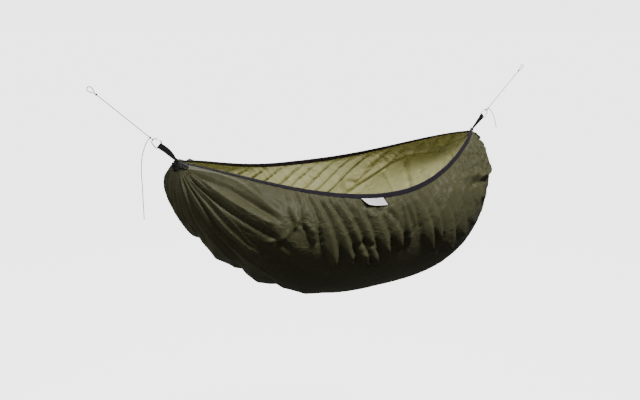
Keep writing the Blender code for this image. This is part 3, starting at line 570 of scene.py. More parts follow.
# Cords first: straight runs up to the anchors, and a loose tail at each hook
cords = dict(
    diameter=0.003, length=0.250, hitchAt=0.1526, hitchRadius=0.0042, anchorRadius=0.0045,
    tailRadius=0.0026, gap=0.0003, loopLength=0.038, loopHalfWidth=0.009,
    wound=(0.0015, 3.0), tailWound=(0.0011, 2.5),      # radius of the wound cord, turns of a knot
    leftTail=((-0.0080, -0.002, -0.0040), (-0.0230, -0.004, -0.0270), (-0.0370, -0.006, -0.0640),
              (-0.0440, -0.008, -0.1030), (-0.0460, -0.009, -0.1420), (-0.0455, -0.010, -0.1780),
              (-0.0465, -0.011, -0.2260), (-0.0470, -0.012, -0.3090)),
    rightTail=((0.0110, -0.002, -0.0060), (0.0290, -0.004, -0.0280), (0.0440, -0.006, -0.0600),
               (0.0540, -0.008, -0.0950)),
)


def windKnot(name, centre, axis, radius, cordRadius, turns):
    # A barrel of cord: the path circles the axis, its distance from it rising as a sine and its
    # place along the axis running from one end to the other.
    t = np.linspace(0, 1, int(turns * 18) + 1)
    axis = unit(np.asarray(axis, float))
    first = unit(np.cross(axis, (0.0, 1.0, 0.0)))
    second = np.cross(axis, first)
    turn = 2 * math.pi * turns * t
    far = (radius - cordRadius) * (0.35 + 0.65 * np.sin(math.pi * t) ** 0.6)
    along = (radius - cordRadius) * (2 * t - 1)
    path = (np.asarray(centre) + along[:, None] * axis
            + (far * np.cos(turn))[:, None] * first + (far * np.sin(turn))[:, None] * second)
    return roundedTube(name, path, cordRadius, 8, axis, finishes["cord"])


def buildCords(name, side, tail):
    # The taut cord runs straight from the hitch knot; the tail follows its chosen points.
    radius = cords["diameter"] / 2
    centre = place(side, cords["hitchAt"], 0.0)
    direction = outward(side, ends["cordAngle"])
    start = centre + (cords["hitchRadius"] + cords["gap"]) * direction
    steps = np.linspace(0, cords["length"], 28)
    run = start + steps[:, None] * direction
    cord = ringPiece(name + "SuspensionCord", carry(run, circle(radius, 12), nearWay),
                     finishes["cord"])
    dress(cord, "hammock", "cord", name + "_suspension_cord")
    route = centre + smoothRoute(((0, 0, 0), *tail), 3 * cords["diameter"])
    way = unit(route[1] - centre)
    route[0] = centre + (cords["hitchRadius"] + cords["gap"]) * way
    last = unit(route[-1] - route[-2])
    knotAt = route[-1] + (cords["tailRadius"] + cords["gap"]) * last
    loose = ringPiece(name + "CordTail", carry(route, circle(radius, 12), nearWay),
                      finishes["cord"])
    dress(loose, "hammock", "cord", name + "_cord_tail")
    knot = windKnot(name + "TailKnot", knotAt, last, cords["tailRadius"], *cords["tailWound"])
    dress(knot, "hammock", "cord", name + "_tail_knot")


def buildHitchAndAnchor(name, side):
    # A round loop through the hook and its knot; at the far end a knot and a loop with straight
    # legs, whose bend is half a circle.
    radius = cords["diameter"] / 2
    along, near = circle(radius + hook["rod"] + cords["gap"], 32).T
    ring = place(side, strap["length"] + hook["length"] + along, 0.0, near)
    wide = place(side, 0.0, 1.0) - place(side, 0.0, 0.0)
    loop = roundedTube(name + "HitchLoop", ring, radius, 12, wide, finishes["cord"], closed=True)
    dress(loop, "hammock", "cord", name + "_hitch_loop")
    along = outward(side, ends["strapAngle"])
    centre = place(side, cords["hitchAt"], 0.0)
    knot = windKnot(name + "HitchKnot", centre, along, cords["hitchRadius"], *cords["wound"])
    dress(knot, "hammock", "cord", name + "_hitch_knot")
    direction = outward(side, ends["cordAngle"])
    anchor = centre + (cords["hitchRadius"] + cords["length"] + cords["anchorRadius"]
                       + 2 * cords["gap"]) * direction
    tied = windKnot(name + "AnchorKnot", anchor, direction, cords["anchorRadius"], *cords["wound"])
    dress(tied, "anchors", "cord", name + "_anchor_knot")
    foot = cords["anchorRadius"] + cords["gap"] + radius
    bend = cords["loopHalfWidth"]
    straight = cords["loopLength"] - bend + radius
    over = np.linspace(-0.5 * math.pi, 0.5 * math.pi, 9)
    flank = 0.4 * foot + 0.6 * straight
    ahead = np.concatenate([[foot, flank], straight + bend * np.cos(over), [flank, foot]])
    aside = np.concatenate([[0.0, -0.75 * bend], bend * np.sin(over), [0.75 * bend, 0.0]])
    upward = np.array([-side * math.sin(ends["cordAngle"]), 0.0, math.cos(ends["cordAngle"])])
    path = smoothRoute(anchor + ahead[:, None] * direction + aside[:, None] * upward, 0.002)
    eye = roundedTube(name + "AnchorLoop", path[:-1], radius, 12, nearWay, finishes["cord"],
                      closed=True)
    dress(eye, "anchors", "cord", name + "_anchor_loop")


strap = dict(
    length=0.105, width=0.024, neckWidth=0.0084, thickness=0.0014, start=0.009, plyGap=0.0004,
    spread=0.024, freeFrom=0.0183, fullShare=0.9,
    leftTaper=3.2, rightTaper=1.0, leftBow=0.004, rightBow=0.0, cup=0.0022,
)
hook = dict(
    rod=0.0020, halfWidth=0.0160, length=0.036, corner=0.0036, topRadius=0.0130, noseDrop=0.0110,
    pivotHeight=0.0085, lug=0.0030, wire=0.0007, endGap=0.0012, noseOverlap=0.0020,
)


def buildStrap(name, side, taper, bow):
    # One ply out to the hook's bar, round it and back. Where the strap narrows to the neck its
    # middle cups away from its edges, by cup * (1 - edge^2) * how far it is narrowed.
    bend = hook["rod"] + cords["gap"] + strap["thickness"] / 2
    flat = strap["plyGap"] / 2 + strap["thickness"] / 2
    along = np.linspace(strap["start"], strap["length"], 60)[:-1]
    near = flat + (bend - flat) * smooth(along, strap["length"] - strap["spread"], strap["length"])
    turn = np.linspace(0.5 * math.pi, -0.5 * math.pi, 17)
    along = np.concatenate([along, strap["length"] + bend * np.cos(turn), along[::-1]])
    near = np.concatenate([near, bend * np.sin(turn), -near[::-1]])
    direction = unit(np.stack([np.gradient(along), np.gradient(near)], -1))
    share = np.clip((along - strap["freeFrom"]) / (strap["length"] - strap["freeFrom"]), 0, 1)
    full = np.clip(share / strap["fullShare"], 0, 1)
    narrowed = (1 - full) ** taper
    half = 0.5 * (strap["width"] - (strap["width"] - strap["neckWidth"]) * narrowed)
    edge = np.linspace(-1, 1, 25)[None, :]
    aside = (bow * np.sin(math.pi * share))[:, None] + edge * half[:, None]
    cup = strap["cup"] * narrowed[:, None] * (1 - edge ** 2)
    rim = 0.5 * strap["thickness"] * (1 - 0.45 * np.abs(edge) ** 10)
    skins = []
    for sign in (1, -1):
        out = sign * rim
        skins.append(place(side, along[:, None] - out * direction[:, 1:], aside,
                           near[:, None] + out * direction[:, :1] + cup))
    piece = slabPiece(name + "Strap", skins[0], skins[1], finishes["webbing"])
    dress(piece, "hammock", "webbing", name + "_strap")


def arcPoints(centre, radius, start, end, steps):
    # Points on an arc between two angles in degrees.
    turn = np.radians(np.linspace(start, end, steps))
    return np.stack([centre[0] + radius * np.cos(turn), centre[1] + radius * np.sin(turn)], 1)


def buildHook(name, side):
    # The frame is a bent rod in the plane of the strap; the gate is a wire loop hinged in its lug.
    corner = hook["halfWidth"] - hook["corner"]
    top = hook["length"] - hook["topRadius"]
    pivot = hook["pivotHeight"]
    stub = np.stack([np.linspace(pivot + hook["lug"], pivot, 5), np.full(5, hook["halfWidth"])], 1)
    noseTurn = math.degrees(math.asin(1 - hook["noseDrop"] / hook["topRadius"]))
    outline = np.concatenate([
        stub,
        arcPoints((hook["corner"], corner), hook["corner"], 90, 180, 9),
        arcPoints((hook["corner"], -corner), hook["corner"], 180, 270, 9),
        arcPoints((top, 0.0), hook["topRadius"], -90, 90 - noseTurn, 40),
    ])
    path = place(side, strap["length"] + outline[:, 0], outline[:, 1])
    rod = roundedTube(name + "HookBody", path, hook["rod"], 20, nearWay, finishes["metal"])
    dress(rod, "hammock", "metal", name + "_hook_body")
    lugHalf = hook["rod"] + cords["gap"] + hook["wire"]
    reach = hook["topRadius"] - hook["rod"] - 1.5 * cords["gap"] - hook["wire"]
    rise = hook["topRadius"] - hook["noseDrop"] + hook["noseOverlap"]
    tip = np.array([top + rise, math.sqrt(reach ** 2 - rise ** 2)])
    foot = np.array([pivot, hook["halfWidth"]])
    share = np.array([0.05, 0.2, 0.45, 0.7, 0.9, 0.97])[:, None]
    legs = foot + (tip - foot) * share
    half = np.array([(*foot, hook["endGap"] / 2), (*foot, 0.6 * lugHalf), (*foot, 0.92 * lugHalf),
                     *((*leg, lugHalf) for leg in legs), (*tip, 0.75 * lugHalf),
                     (*tip, 0.3 * lugHalf)])
    wire = smoothRoute(np.concatenate([half, half[::-1] * (1, 1, -1)]), 0.0007)
    path = place(side, strap["length"] + wire[:, 0], wire[:, 1], wire[:, 2])
    gate = roundedTube(name + "HookGate", path, hook["wire"], 8,
                       outward(side, ends["strapAngle"] + 0.3), finishes["metal"])
    dress(gate, name + "_gate", "metal", name + "_hook_gate")


for endName in ("left", "right"):
    buildCords(endName, ends[endName], cords[endName + "Tail"])
print("cords made")
for endName in ("left", "right"):
    buildHitchAndAnchor(endName, ends[endName])
    buildStrap(endName, ends[endName], strap[endName + "Taper"], strap[endName + "Bow"])
    buildHook(endName, ends[endName])
print("straps, hooks and knots made")


# Pouch form. A station runs from -1 at the left neck to 1 at the right, and across runs from -1
# at the near hem over 0 at the keel to 1 at the far hem.

def hemAt(station):
    # x = half span * sin(90 deg * station); the width and the drop are powers of x / half span.
    along = cloth["neckHalfSpan"] * np.sin(0.5 * math.pi * station)
    share = np.abs(along / cloth["neckHalfSpan"])
    k, plan, sag = cloth["hemRounding"], cloth["hemPlan"], cloth["hemSagShape"]
    rounded = np.sqrt((share ** 2 + k ** 2) / (1 + k ** 2))
    openShare = (1 - rounded ** plan[0]) / (1 - k ** plan[0])
    halfWidth = cloth["hemHalfWidth"] * np.clip(openShare, 0, 1) ** plan[1]
    height = -cloth["hemSag"] * np.clip(1 - share ** sag[0], 0, 1) ** sag[1]
    return along, halfWidth, height


def keelSide(fromNeck, keel):
    # Bezier curve of the fourth degree from a neck to the middle of the keel.
    (out1, drop1), (out2, drop2), flat = keel
    span, depth = cloth["neckHalfSpan"], cloth["depth"]
    points = ((span, 0.0), (span + out1, -drop1), (span + out2, -drop2), (flat, -depth),
              (0.0, -depth))
    along, height = np.zeros_like(fromNeck), np.zeros_like(fromNeck)
    for index, (x, z) in enumerate(points):
        weight = math.comb(4, index) * (1 - fromNeck) ** (4 - index) * fromNeck ** index
        along = along + weight * x
        height = height + weight * z
    return along, height


def pouchPoint(station, across):
    # Section = ellipse arc between the two hems; x runs from the hem's to the keel's as the sine
    # of the share of the drop.
    station, across = np.broadcast_arrays(np.asarray(station, float), np.asarray(across, float))
    hemX, hemY, hemZ = hemAt(station)
    fromNeck = 1 - np.abs(station)
    leftX, leftZ = keelSide(fromNeck, cloth["leftKeel"])
    rightX, rightZ = keelSide(fromNeck, cloth["rightKeel"])
    keelX = np.where(station < 0, -leftX, rightX)
    keelZ = np.where(station < 0, leftZ, rightZ)
    belly = np.maximum(cloth["bellyHalfWidth"] * (1 - station ** 2), hemY * 1.02 + 1e-4)
    start = np.arccos(np.clip(hemY / belly, 0, 1))
    turn = 0.5 * math.pi + across * (0.5 * math.pi + start)
    halfHeight = (hemZ - keelZ) / (1 + np.sin(start))
    drop = (np.sin(turn) + np.sin(start)) / (1 + np.sin(start))
    x = hemX + (keelX - hemX) * np.sin(0.5 * math.pi * drop)
    y = -belly * np.cos(turn)
    z = keelZ + halfHeight * (1 - np.sin(turn))
    return np.stack([x, y, z], axis=-1) + middle


def pouchNormal(station, across):
    # Cross product of the two directions on the form, pointing out of the pouch.
    step = 1e-4
    along = pouchPoint(station + step, across) - pouchPoint(station - step, across)
    over = pouchPoint(station, across + step) - pouchPoint(station, across - step)
    return unit(np.cross(over, along))


def acrossBelow(station, distance):
    # 1 - distance / how many metres a unit across is, just under the hem.
    perUnit = (pouchPoint(station, 0.99) - pouchPoint(station, 0.97)) / 0.02
    return 1 - distance / np.linalg.norm(perUnit, axis=-1)


def gridNormal(points):
    # Cross product of the steps to a grid's neighbours.
    return unit(np.cross(np.gradient(points, axis=1), np.gradient(points, axis=0)))


# Cloth relaxation: whole-array steps of a sheet of springs on a soft bed. The cut cloth is longer
# than the pouch, so it buckles into folds across the direction it is gathered in.

def spread(move, points, axis, rest):
    # Springs between neighbours along one grid axis push both their ends towards their length.
    step = np.diff(points, axis=axis)
    length = np.linalg.norm(step, axis=-1)
    share = 0.5 * relaxing["stiffness"] * (length - rest) / np.maximum(length, 1e-9)
    push = share[..., None] * step
    if axis == 0:
        move[:-1] += push
        move[1:] -= push
    else:
        move[:, :-1] += push
        move[:, 1:] -= push


def unevenness(field):
    # Difference between each point and the mean of its four neighbours; edges count none.
    out = np.zeros_like(field)
    out[1:-1] += 0.5 * (field[:-2] + field[2:]) - field[1:-1]
    out[:, 1:-1] += 0.5 * (field[:, :-2] + field[:, 2:]) - field[:, 1:-1]
    return out


def relaxCloth(bed, normal, start, cut, outMost, inMost, pull, rounds, bending):
    # Heavy-ball steps: springs to the cut lengths, bending against the bed's shape and the bed's
    # pull; the offset from the bed stays between -inMost and outMost, and the edges are sewn down.
    points = start.copy()
    speed = np.zeros_like(points)
    free = np.zeros(points.shape[:2] + (1,))
    free[1:-1, 1:-1] = 1
    for _ in range(rounds):
        offset = points - bed
        move = -pull * offset
        spread(move, points, 0, cut[0])
        spread(move, points, 1, cut[1])
        move -= bending * unevenness(unevenness(offset))
        speed = relaxing["kept"] * speed + relaxing["added"] * move
        points = points + speed * free
        out = np.einsum("ijk,ijk->ij", points - bed, normal)
        back = np.clip(out, -inMost, outMost) - out
        points = points + relaxing["back"] * back[..., None] * normal
    return points


def cutLengths(surface, extraAlong, extraOver):
    # The lengths of the flat cloth between grid points: the surface's, and the extra on top.
    along = np.linalg.norm(np.diff(surface, axis=0), axis=-1)
    over = np.linalg.norm(np.diff(surface, axis=1), axis=-1)
    return (along * (1 + 0.5 * (extraAlong[1:] + extraAlong[:-1])),
            over * (1 + 0.5 * (extraOver[:, 1:] + extraOver[:, :-1])))


def resample(field, rows, columns):
    # Cubic curves through the grid, read at a new number of rows and columns.
    for axis, count in ((0, rows), (1, columns)):
        field = np.moveaxis(field, axis, 0)
        last = field.shape[0] - 1
        at = np.linspace(0, last, count)
        low = np.minimum(at.astype(int), last - 1)
        t = (at - low).reshape((-1,) + (1,) * (field.ndim - 1))
        around = (np.clip(low + shift, 0, last) for shift in (-1, 0, 1, 2))
        field = np.moveaxis(cubic(*(field[row] for row in around), t), 0, axis)
    return field


def planeWaves(u, v, cells, seed, count=14):
    # Sum of seeded plane waves, about one in size.
    rng = np.random.default_rng(seed)
    total = 0 * (u + v)
    for _ in range(count):
        a, b = rng.normal(0, 1, 2) * np.array(cells)
        total = total + np.sin(2 * math.pi * (a * u + b * v) + rng.uniform(0, 2 * math.pi))
    return total / math.sqrt(count / 2)


def distanceTo(line, u, v):
    # Distance from every point of the plane to the nearest point of a line of straight runs, and
    # the share of the line's runs that lies before that point.
    nearest, share = np.full(u.shape, 1e9), np.zeros(u.shape)
    for index, ((u0, v0), (u1, v1)) in enumerate(zip(line[:-1], line[1:])):
        du, dv = u1 - u0, v1 - v0
        t = np.clip(((u - u0) * du + (v - v0) * dv) / (du * du + dv * dv), 0, 1)
        distance = np.hypot(u - u0 - t * du, v - v0 - t * dv)
        share = np.where(distance < nearest, (index + t) / (len(line) - 1), share)
        nearest = np.minimum(nearest, distance)
    return nearest, share


def foldRelief(folds, station, across):
    # Sum of height * (1 - distance / width)^1.25 over the folds: flat-sided ridges and valleys.
    # Both their ends taper, over a sixth of the line each.
    u, v = station * pace["along"], across * pace["over"]
    heights = np.zeros(u.shape)
    for height, width, line in folds:
        line = [(s * pace["along"], a * pace["over"]) for s, a in line]
        distance, share = distanceTo(line, u, v)
        taper = np.clip(6 * np.minimum(share, 1 - share) + 0.25, 0, 1)
        heights += height * taper * np.clip(1 - distance / width, 0, 1) ** 1.25
    return heights


def gatheredRelief(made, station, q):
    # Shingled folds. From one valley to the next the height climbs to the crest and drops back,
    # and the valley itself is a narrow groove; each fold reaches furthest from the hem at its
    # crest, so it ends in a tip. Given back are the heights and how far from the hem they reach.
    heights, reach = np.zeros(q.shape), np.full(q.shape, made["reach"])
    crest = made["crest"]
    for (start, drift, height, end), after in zip(made["gathers"][:-1], made["gathers"][1:]):
        left = start + drift * q
        right = after[0] + after[1] * q
        share = (station - left) / (right - left)
        profile = np.clip(np.minimum(share / crest, (1 - share) / (1 - crest)), 0, 1)
        tip = end - made["tip"] * (1 - profile)
        inside = (share >= 0) & (share < 1)
        aside = np.minimum(share, 1 - share) * (right - left) * pace["along"]
        groove = made["groove"] * np.clip(1 - aside / 0.012, 0, 1)
        heights += inside * (height * profile - groove) * (1 - smooth(q, tip - 0.035, tip))
        reach = np.where(inside, tip, reach)
    return heights * smooth(q, 0.010, 0.08), reach


def puckers(made, leaning, a, q):
    # Small folds drawn up by the elastic: |sin| of the metres along the hem, round on top and sharp
    # between, fading below it.
    run = leaning * pace["along"] + 0.010 * planeWaves(leaning, a, (9, 2), made["seed"])
    size = made["puckerHeight"] * (0.75 + 0.35 * planeWaves(leaning, a, (3, 1), made["seed"] + 1))
    wave = np.abs(np.sin(math.pi * run / made["puckerWidth"]))
    return size * wave * smooth(q, 0.008, 0.03) * (1 - smooth(q, 0.08, made["puckerReach"]))


def crumples(u, v, size, seed, count=7):
    # Mean of |sin| of seeded plane waves: flat facets that meet in straight creases.
    rng = np.random.default_rng(seed)
    bend = 0.25 * size * planeWaves(u, v, (0.3 / size, 0.3 / size), seed + 1)
    total = 0 * (u + v)
    for turn in rng.uniform(0, math.pi, count):
        along = (u * math.cos(turn) + v * math.sin(turn) + bend) / (size * rng.uniform(0.7, 1.8))
        total = total + np.abs(np.sin(math.pi * along + rng.uniform(0, math.pi)))
    return total / count - 2 / math.pi


def keepWithin(points, form, normal, low, high):
    # The offset from the form along its normal is held between low and high.
    out = np.einsum("ijk,ijk->ij", points - form, normal)
    return points + (np.clip(out, low, high) - out)[..., None] * normal


pace = dict(along=1.18, over=0.76)      # about how many metres a station and a unit across are
relaxing = dict(
    # Stiffness of the springs, and the shares of a step's speed that it keeps, of its push that it
    # adds and of the way back to the limits; then the least room beside the bed
    stiffness=0.5, kept=0.88, added=0.35, back=0.5, least=0.0006,
    coarse=dict(pull=0.010, rounds=200, bending=0.05),
    fine=dict(pull=0.05, rounds=60, bending=0.02),
)

shell = dict(
    coarse=(230, 146), fine=(362, 228), ends=0.978, lean=0.16, seed=60,
    gather=0.09, gatherReach=0.45, fanLeft=0.05, fanRight=0.04, outMost=0.007, inMost=0.006,
    depthShare=0.52, liningGap=0.0008, furthest=0.044,
    crest=0.60, groove=0.004, tip=0.13, reach=0.36,
    lip=0.013, lipFrom=(-0.46, -0.34), lipTo=(0.20, 0.46), calmFrom=(0.30, 0.42),
    puckersTo=(0.45, 0.75), sunk=0.007, sunkFrom=(0.35, 0.55), hollow=0.008, hollowFrom=(0.50, 0.62),
    puckerHeight=0.0045, puckerWidth=0.034, puckerReach=0.26,
    crumple=0.01232, crumpleSize=0.068, crumpleSeed=90, slack=0.02, crumpledSlack=0.03,
    waves=0.002, fineWaves=0.0006, waveSeed=5, play=0.003,
    # Gathered folds: station of the valley at the hem, its drift down the side, height, reach
    gathers=(
        (-0.385, 0.00, 0.005, 0.25), (-0.345, 0.06, 0.009, 0.31), (-0.310, 0.17, 0.012, 0.44),
        (-0.280, 0.26, 0.015, 0.40), (-0.250, 0.36, 0.020, 0.43), (-0.190, 0.30, 0.018, 0.42),
        (-0.135, 0.26, 0.014, 0.36), (-0.075, 0.25, 0.020, 0.35), (0.025, 0.03, 0.015, 0.30),
        (0.045, 0.06, 0.007, 0.18), (0.076, 0.09, 0.020, 0.41), (0.130, 0.07, 0.012, 0.38),
        (0.180, 0.04, 0.015, 0.49), (0.240, 0.06, 0.011, 0.46), (0.325, 0.05, 0.011, 0.46),
        (0.390, 0.06, 0.008, 0.38), (0.440, 0.08, 0.010, 0.44), (0.520, 0.06, 0.007, 0.36),
        (0.600, 0.06, 0.009, 0.32), (0.700, 0.02, 0.008, 0.28), (0.810, 0.00, 0.006, 0.24),
        (0.920, 0.00, 0.0, 0.20),
    ),
    # Long folds that fan out of the necks, on both sides: height, width in metres, then the line
    # in stations and across
    fans=(
        (0.010, 0.034, ((-0.90, -0.78), (-0.76, -0.88), (-0.65, -0.925), (-0.57, -0.92),
                        (-0.50, -0.87), (-0.43, -0.82))),
        (-0.017, 0.030, ((-0.84, -0.78), (-0.70, -0.835), (-0.60, -0.835), (-0.52, -0.80),
                         (-0.46, -0.775), (-0.41, -0.75))),
        (0.017, 0.050, ((-0.84, -0.755), (-0.63, -0.725), (-0.53, -0.715), (-0.46, -0.71),
                        (-0.42, -0.725))),
        (-0.011, 0.030, ((-0.88, -0.70), (-0.72, -0.66), (-0.62, -0.64), (-0.52, -0.635),
                         (-0.43, -0.63), (-0.33, -0.57))),
        (-0.012, 0.120, ((-0.90, -0.60), (-0.72, -0.57), (-0.60, -0.53), (-0.40, -0.50),
                         (-0.20, -0.46))),
        (-0.012, 0.020, ((-0.87, -0.76), (-0.79, -0.755), (-0.71, -0.72))),
        (0.004, 0.010, ((-0.87, -0.66), (-0.70, -0.625), (-0.59, -0.565), (-0.48, -0.47))),
        (0.007, 0.016, ((-0.88, -0.61), (-0.72, -0.54), (-0.61, -0.48), (-0.51, -0.45),
                        (-0.42, -0.45))),
        (-0.009, 0.022, ((-0.89, -0.58), (-0.72, -0.495), (-0.62, -0.42), (-0.50, -0.40))),
        (0.005, 0.012, ((-0.90, -0.56), (-0.73, -0.465), (-0.64, -0.38), (-0.52, -0.36),
                        (-0.32, -0.30))),
        (-0.011, 0.030, ((-0.91, -0.52), (-0.80, -0.43), (-0.70, -0.37), (-0.59, -0.33),
                         (-0.47, -0.27))),
        (0.010, 0.024, ((-0.91, -0.47), (-0.80, -0.375), (-0.71, -0.30), (-0.61, -0.27),
                        (-0.49, -0.20))),
        (-0.014, 0.028, ((-0.92, -0.42), (-0.84, -0.34), (-0.77, -0.26), (-0.70, -0.20),
                         (-0.60, -0.13))),
        (0.009, 0.026, ((-0.93, -0.34), (-0.84, -0.26), (-0.76, -0.16), (-0.68, -0.10),
                        (-0.60, -0.04))),
        (0.010, 0.026, ((0.93, -0.62), (0.80, -0.74), (0.66, -0.72), (0.54, -0.74))),
        (-0.012, 0.022, ((0.94, -0.50), (0.80, -0.64), (0.68, -0.66), (0.58, -0.62))),
        (0.015, 0.034, ((0.42, -0.86), (0.49, -0.81), (0.67, -0.60), (0.78, -0.50))),
        (-0.011, 0.022, ((0.42, -0.80), (0.48, -0.77), (0.56, -0.69), (0.64, -0.60),
                         (0.72, -0.53))),
        (0.012, 0.046, ((0.59, -0.93), (0.575, -0.86), (0.56, -0.78), (0.55, -0.72))),
        (-0.014, 0.021, ((0.455, -0.985), (0.465, -0.93), (0.47, -0.88), (0.46, -0.82),
                         (0.45, -0.76))),
        (-0.012, 0.020, ((0.86, -0.85), (0.77, -0.83), (0.71, -0.80), (0.69, -0.73),
                         (0.68, -0.66))),
        (-0.015, 0.050, ((0.93, -0.68), (0.88, -0.63), (0.83, -0.59), (0.79, -0.565))),
        (-0.012, 0.024, ((0.95, -0.34), (0.82, -0.40), (0.66, -0.48), (0.52, -0.50))),
        (0.013, 0.030, ((0.95, -0.22), (0.83, -0.28), (0.68, -0.32), (0.54, -0.34))),
    ),
    # Folds and dents under the keel and single creases on the near side
    folds=(
        (-0.013, 0.020, ((-0.94, -0.27), (-0.86, -0.22), (-0.78, -0.10), (-0.68, -0.02))),
        (0.015, 0.028, ((-0.94, -0.17), (-0.86, -0.08), (-0.79, -0.03), (-0.68, 0.05))),
        (-0.012, 0.022, ((-0.94, 0.02), (-0.86, 0.05), (-0.76, 0.12))),
        (0.014, 0.028, ((-0.94, 0.30), (-0.87, 0.20), (-0.77, 0.14))),
        (-0.013, 0.034, ((-0.68, -0.14), (-0.59, 0.05), (-0.53, 0.22))),
        (0.013, 0.060, ((-0.58, -0.16), (-0.51, 0.00), (-0.44, 0.14))),
        (-0.013, 0.030, ((-0.50, -0.22), (-0.42, -0.05), (-0.36, 0.10))),
        (0.011, 0.050, ((-0.44, -0.24), (-0.355, -0.08), (-0.28, 0.06))),
        (-0.011, 0.030, ((-0.38, -0.28), (-0.29, -0.11), (-0.22, 0.04))),
        (0.008, 0.060, ((-0.26, -0.30), (-0.17, -0.12), (-0.10, 0.04))),
        (0.012, 0.030, ((0.95, 0.05), (0.84, 0.02), (0.70, 0.0))),
        (-0.010, 0.026, ((0.94, -0.08), (0.82, -0.14), (0.66, -0.18))),
        (-0.006, 0.016, ((-0.53, -0.97), (-0.47, -0.88), (-0.41, -0.82))),
        (0.009, 0.014, ((-0.46, -0.56), (-0.40, -0.64), (-0.35, -0.78), (-0.32, -0.86))),
        (-0.012, 0.017, ((-0.10, -0.91), (-0.03, -0.92), (0.00, -0.86), (0.035, -0.76))),
        (-0.013, 0.018, ((-0.155, -0.70), (-0.12, -0.745), (-0.08, -0.73), (-0.05, -0.67))),
        (0.012, 0.018, ((-0.15, -0.655), (-0.11, -0.685), (-0.07, -0.65))),
        (-0.010, 0.016, ((0.115, -0.96), (0.125, -0.88), (0.135, -0.78))),
        (-0.012, 0.020, ((0.51, -0.93), (0.60, -0.88), (0.64, -0.83), (0.73, -0.85))),
        (-0.014, 0.018, ((0.69, -0.985), (0.65, -0.95), (0.62, -0.92), (0.59, -0.89))),
        (-0.012, 0.018, ((0.48, -0.99), (0.52, -0.965), (0.54, -0.93), (0.57, -0.90))),
        (0.009, 0.026, ((0.42, -0.97), (0.41, -0.92), (0.39, -0.86))),
    ),
)
lining = dict(
    coarse=(230, 146), fine=(310, 197), ends=0.966, lean=-0.80, seed=80,
    atHem=0.0026, loft=0.029, seams=(-0.52, -0.17, 0.17, 0.52), seamWidth=0.016, seamDepth=0.010,
    gather=0.10, gatherReach=0.30, fan=0.06, outMost=0.004, inMost=0.010,
    depthShare=0.60, furthest=0.030,
    crest=0.60, groove=0.004, tip=0.05, reach=0.24,
    puckerHeight=0.0050, puckerWidth=0.036, puckerReach=0.20,
    crumple=-0.0124, crumpleSize=0.062, crumpleSeed=190, slack=0.015, crumpledSlack=0.02,
    waves=0.002, fineWaves=0.0005, waveSeed=15, play=0.002,
    # Diagonal puffs under the hem
    gathers=(
        (-0.80, -0.30, 0.006, 0.18), (-0.68, -0.45, 0.010, 0.20), (-0.56, -0.60, 0.010, 0.24),
        (-0.44, -0.70, 0.013, 0.24), (-0.33, -0.80, 0.012, 0.26), (-0.235, -0.85, 0.014, 0.26),
        (-0.14, -0.85, 0.011, 0.24), (-0.055, -0.85, 0.015, 0.28), (0.040, -0.80, 0.010, 0.26),
        (0.110, -0.85, 0.014, 0.30), (0.195, -0.85, 0.012, 0.26), (0.265, -0.85, 0.015, 0.28),
        (0.345, -0.85, 0.016, 0.24), (0.430, -0.60, 0.010, 0.17), (0.520, -0.40, 0.009, 0.18),
        (0.610, -0.30, 0.008, 0.24), (0.700, -0.20, 0.006, 0.28), (0.800, 0.0, 0.0, 0.20),
    ),
    # The gathered band's lower edge, a panel seam and the long folds at the ends, on the far side
    folds=(
        (-0.010, 0.030, ((0.16, 0.70), (0.26, 0.765), (0.34, 0.80), (0.43, 0.85), (0.50, 0.87),
                         (0.60, 0.82), (0.72, 0.70), (0.80, 0.54))),
        (0.008, 0.016, ((0.14, 0.65), (0.26, 0.72), (0.34, 0.76), (0.42, 0.81), (0.50, 0.835),
                        (0.60, 0.775), (0.72, 0.65), (0.80, 0.48))),
        (-0.0045, 0.014, ((0.37, 0.83), (0.41, 0.68), (0.44, 0.50), (0.45, 0.30))),
        (-0.010, 0.022, ((-0.90, 0.60), (-0.72, 0.66), (-0.52, 0.70))),
        (0.010, 0.020, ((-0.90, 0.40), (-0.72, 0.50), (-0.55, 0.58))),
        (-0.010, 0.022, ((0.92, 0.30), (0.80, 0.28), (0.62, 0.36))),
        (0.010, 0.018, ((0.92, 0.62), (0.82, 0.66), (0.66, 0.80))),
    ),
)


# Bare woven label under the near hem, its lower left corner curling away from the shell. Its
# middle and half its length are in stations, the rest in metres.
label = dict(height=0.031, station=-0.0720, half=0.0400, thickness=0.0007, standOff=0.0030,
             fall=0.0035, curl=0.009, skew=0.012, top=0.0120, lift=0.15, wave=0.0012)


def roomAt(station):
    # Half the pouch's width at a station, which leaves less room for folds near the necks.
    return cloth["bellyHalfWidth"] * (1 - station ** 2)


def clothGrid(made, size):
    # Grid values on the pouch: station, the same leaning with q, across, q (0 at the hems and 1 at
    # the keel), how much longer the cut cloth is, and the form with its outward normal.
    rows, columns = made[size]
    s = np.linspace(-made["ends"], made["ends"], rows)[:, None]
    a = np.linspace(-1, 1, columns)[None, :] + 0 * s
    q = 1 - np.abs(a)
    leaning = s + made["lean"] * q * (1 - s ** 2)
    gather = made["gather"] * np.exp(-(q / made["gatherReach"]) ** 2) * (1 - s ** 4)
    gather = gather * (1 + 0.25 * planeWaves(leaning, a, (3, 1), 3))
    form = pouchPoint(s, a)
    return s + 0 * a, leaning, a, q, gather, form, gridNormal(form)


def moved(points, normal, amount):
    # The points moved along the normal, by waves from which folds can grow or by a relief.
    return points + amount[..., None] * normal


def coarseCloth(made, bed, grid, fan, outMost, inMost):
    # The cut cloth starts on its bed with small waves and buckles freely between its limits.
    _, leaning, a, q, gather, _, normal = grid
    waves = made["waves"] * planeWaves(leaning, a, (10, 3), made["waveSeed"]) * smooth(q, 0.0, 0.05)
    return relaxCloth(bed, normal, moved(bed, normal, waves), cutLengths(bed, gather, fan),
                      relaxing["least"] + outMost, relaxing["least"] + inMost, **relaxing["coarse"])


